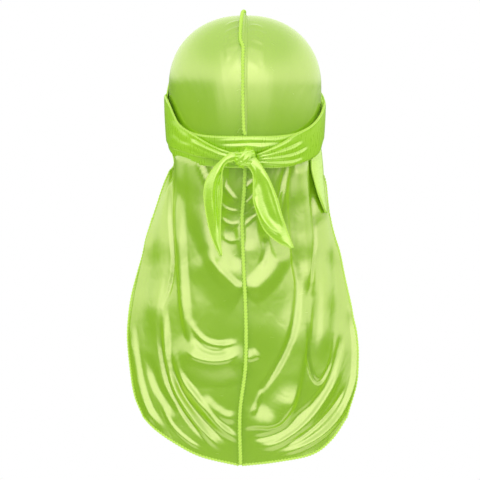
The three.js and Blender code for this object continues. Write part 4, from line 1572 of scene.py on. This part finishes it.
def surroundings():
    """Even soft light, a dark room with a bright side and a sky in reflections, and white in view."""
    world = bpy.data.worlds.new("studio")
    bpy.context.scene.world = world
    world.use_nodes = True
    tree = world.node_tree
    tree.nodes.clear()
    place = tree.nodes.new("ShaderNodeTexCoord")
    split = added(tree, "SeparateXYZ", Vector=place.outputs["Generated"])
    up = split.outputs["Z"]
    room = REFLECTED
    facing = ramp(tree, split.outputs["Y"], room["front_from"], room["front_full"], 0, room["front_share"])
    front = math_node(tree, "MULTIPLY", facing, ramp(tree, up, -room["front_foot"], room["front_foot"]))
    aside = math_node(tree, "MULTIPLY", split.outputs["X"], room["sky_tilt"])
    towards_right = math_node(tree, "ADD", up, aside)
    low_sky = ramp(tree, towards_right, room["sky_from"], room["sky_full"], 0, room["sky_share"])
    high_sky = ramp(tree, up, room["high_from"], room["high_full"], 1, room["high_share"])
    sky = math_node(tree, "MULTIPLY", low_sky, high_sky)
    bright = math_node(tree, "MAXIMUM", front, sky)
    gloss = background(tree, ramp(tree, bright, 0, 1, room["dark"], room["bright"]))
    soft = ramp(tree, up, SOFT_LIGHT["from"], SOFT_LIGHT["full"], SOFT_LIGHT["low"], SOFT_LIGHT["high"])
    rays = tree.nodes.new("ShaderNodeLightPath")
    lit = mixed(tree, rays.outputs["Is Glossy Ray"], background(tree, soft), gloss)
    seen = mixed(tree, rays.outputs["Is Camera Ray"], lit, background(tree, 1))
    added(tree, "OutputWorld", Surface=seen)


def ramp(tree, value, low, high, first=0, last=1):
    """A smooth step from first to last between two values of a socket."""
    node = tree.nodes.new("ShaderNodeMapRange")
    node.interpolation_type = "SMOOTHSTEP"
    feed(tree, node, {"Value": value, "From Min": low, "From Max": high, "To Min": first, "To Max": last})
    return node.outputs[0]


def background(tree, strength):
    """White surroundings of a strength that is a number or a socket."""
    return added(tree, "Background", Color=(1, 1, 1, 1), Strength=strength).outputs[0]


def mixed(tree, share, first, last):
    """Two shaders mixed by a share."""
    return feed(tree, tree.nodes.new("ShaderNodeMixShader"), {0: share, 1: first, 2: last}).outputs[0]


def photo_camera():
    """The camera at the photograph's angle, moved aside so that the frame needs no lens shift."""
    scale = PHOTO["distance"] / PHOTO["focal"]
    aside = (PHOTO["centre_x"] - PHOTO["size"] / 2) * scale
    under = (PHOTO["size"] / 2 - PHOTO["centre_y"]) * scale
    tilt = math.radians(PHOTO["elevation"])
    place = np.array([
        -aside,
        -PHOTO["distance"] * math.cos(tilt) - under * math.sin(tilt),
        PHOTO["distance"] * math.sin(tilt) - PHOTO["aim_level"] - under * math.cos(tilt),
    ])
    bpy.ops.object.camera_add(location=tuple(place / METRE), rotation=(math.pi / 2 - tilt, 0, 0))
    camera = bpy.context.active_object
    camera.name = "photo_camera"
    camera.data.sensor_width = SENSOR
    camera.data.lens = SENSOR * PHOTO["focal"] / PHOTO["size"]
    bpy.context.scene.camera = camera
    bpy.context.scene.view_settings.view_transform = "Standard"


class DuragSidebar(bpy.types.Panel):
    """The durag's sizes, colours and making steps"""

    bl_idname = "DURAG_PT_sidebar"
    bl_label = "Durag"
    bl_space_type = "VIEW_3D"
    bl_region_type = "UI"
    bl_category = "Durag"

    def draw(self, context):
        for group in (context.scene.durag_sizes, context.scene.durag_colours):
            box = self.layout.box()
            for title in group.__annotations__:
                box.prop(group, title)
        for operator in STEPS:
            self.layout.operator(operator.bl_idname)


STEPS = (
    PanelsOperator,
    SeamOperator,
    StrapsOperator,
    TurnedEdgeOperator,
    TieEndsOperator,
    KnotOperator,
    StitchingOperator,
    StageOperator,
)
CLASSES = (DuragSizes, DuragColours, *STEPS, DuragSidebar)


def register():
    for cls in CLASSES:
        bpy.utils.register_class(cls)
    bpy.types.Scene.durag_sizes = PointerProperty(type=DuragSizes)
    bpy.types.Scene.durag_colours = PointerProperty(type=DuragColours)


def unregister():
    del bpy.types.Scene.durag_sizes
    del bpy.types.Scene.durag_colours
    for cls in reversed(CLASSES):
        bpy.utils.unregister_class(cls)


def main():
    """Makes every piece in order."""
    register()
    for operator in STEPS:
        group, step = operator.bl_idname.split(".")
        getattr(getattr(bpy.ops, group), step)()


if __name__ == "__main__":
    main()
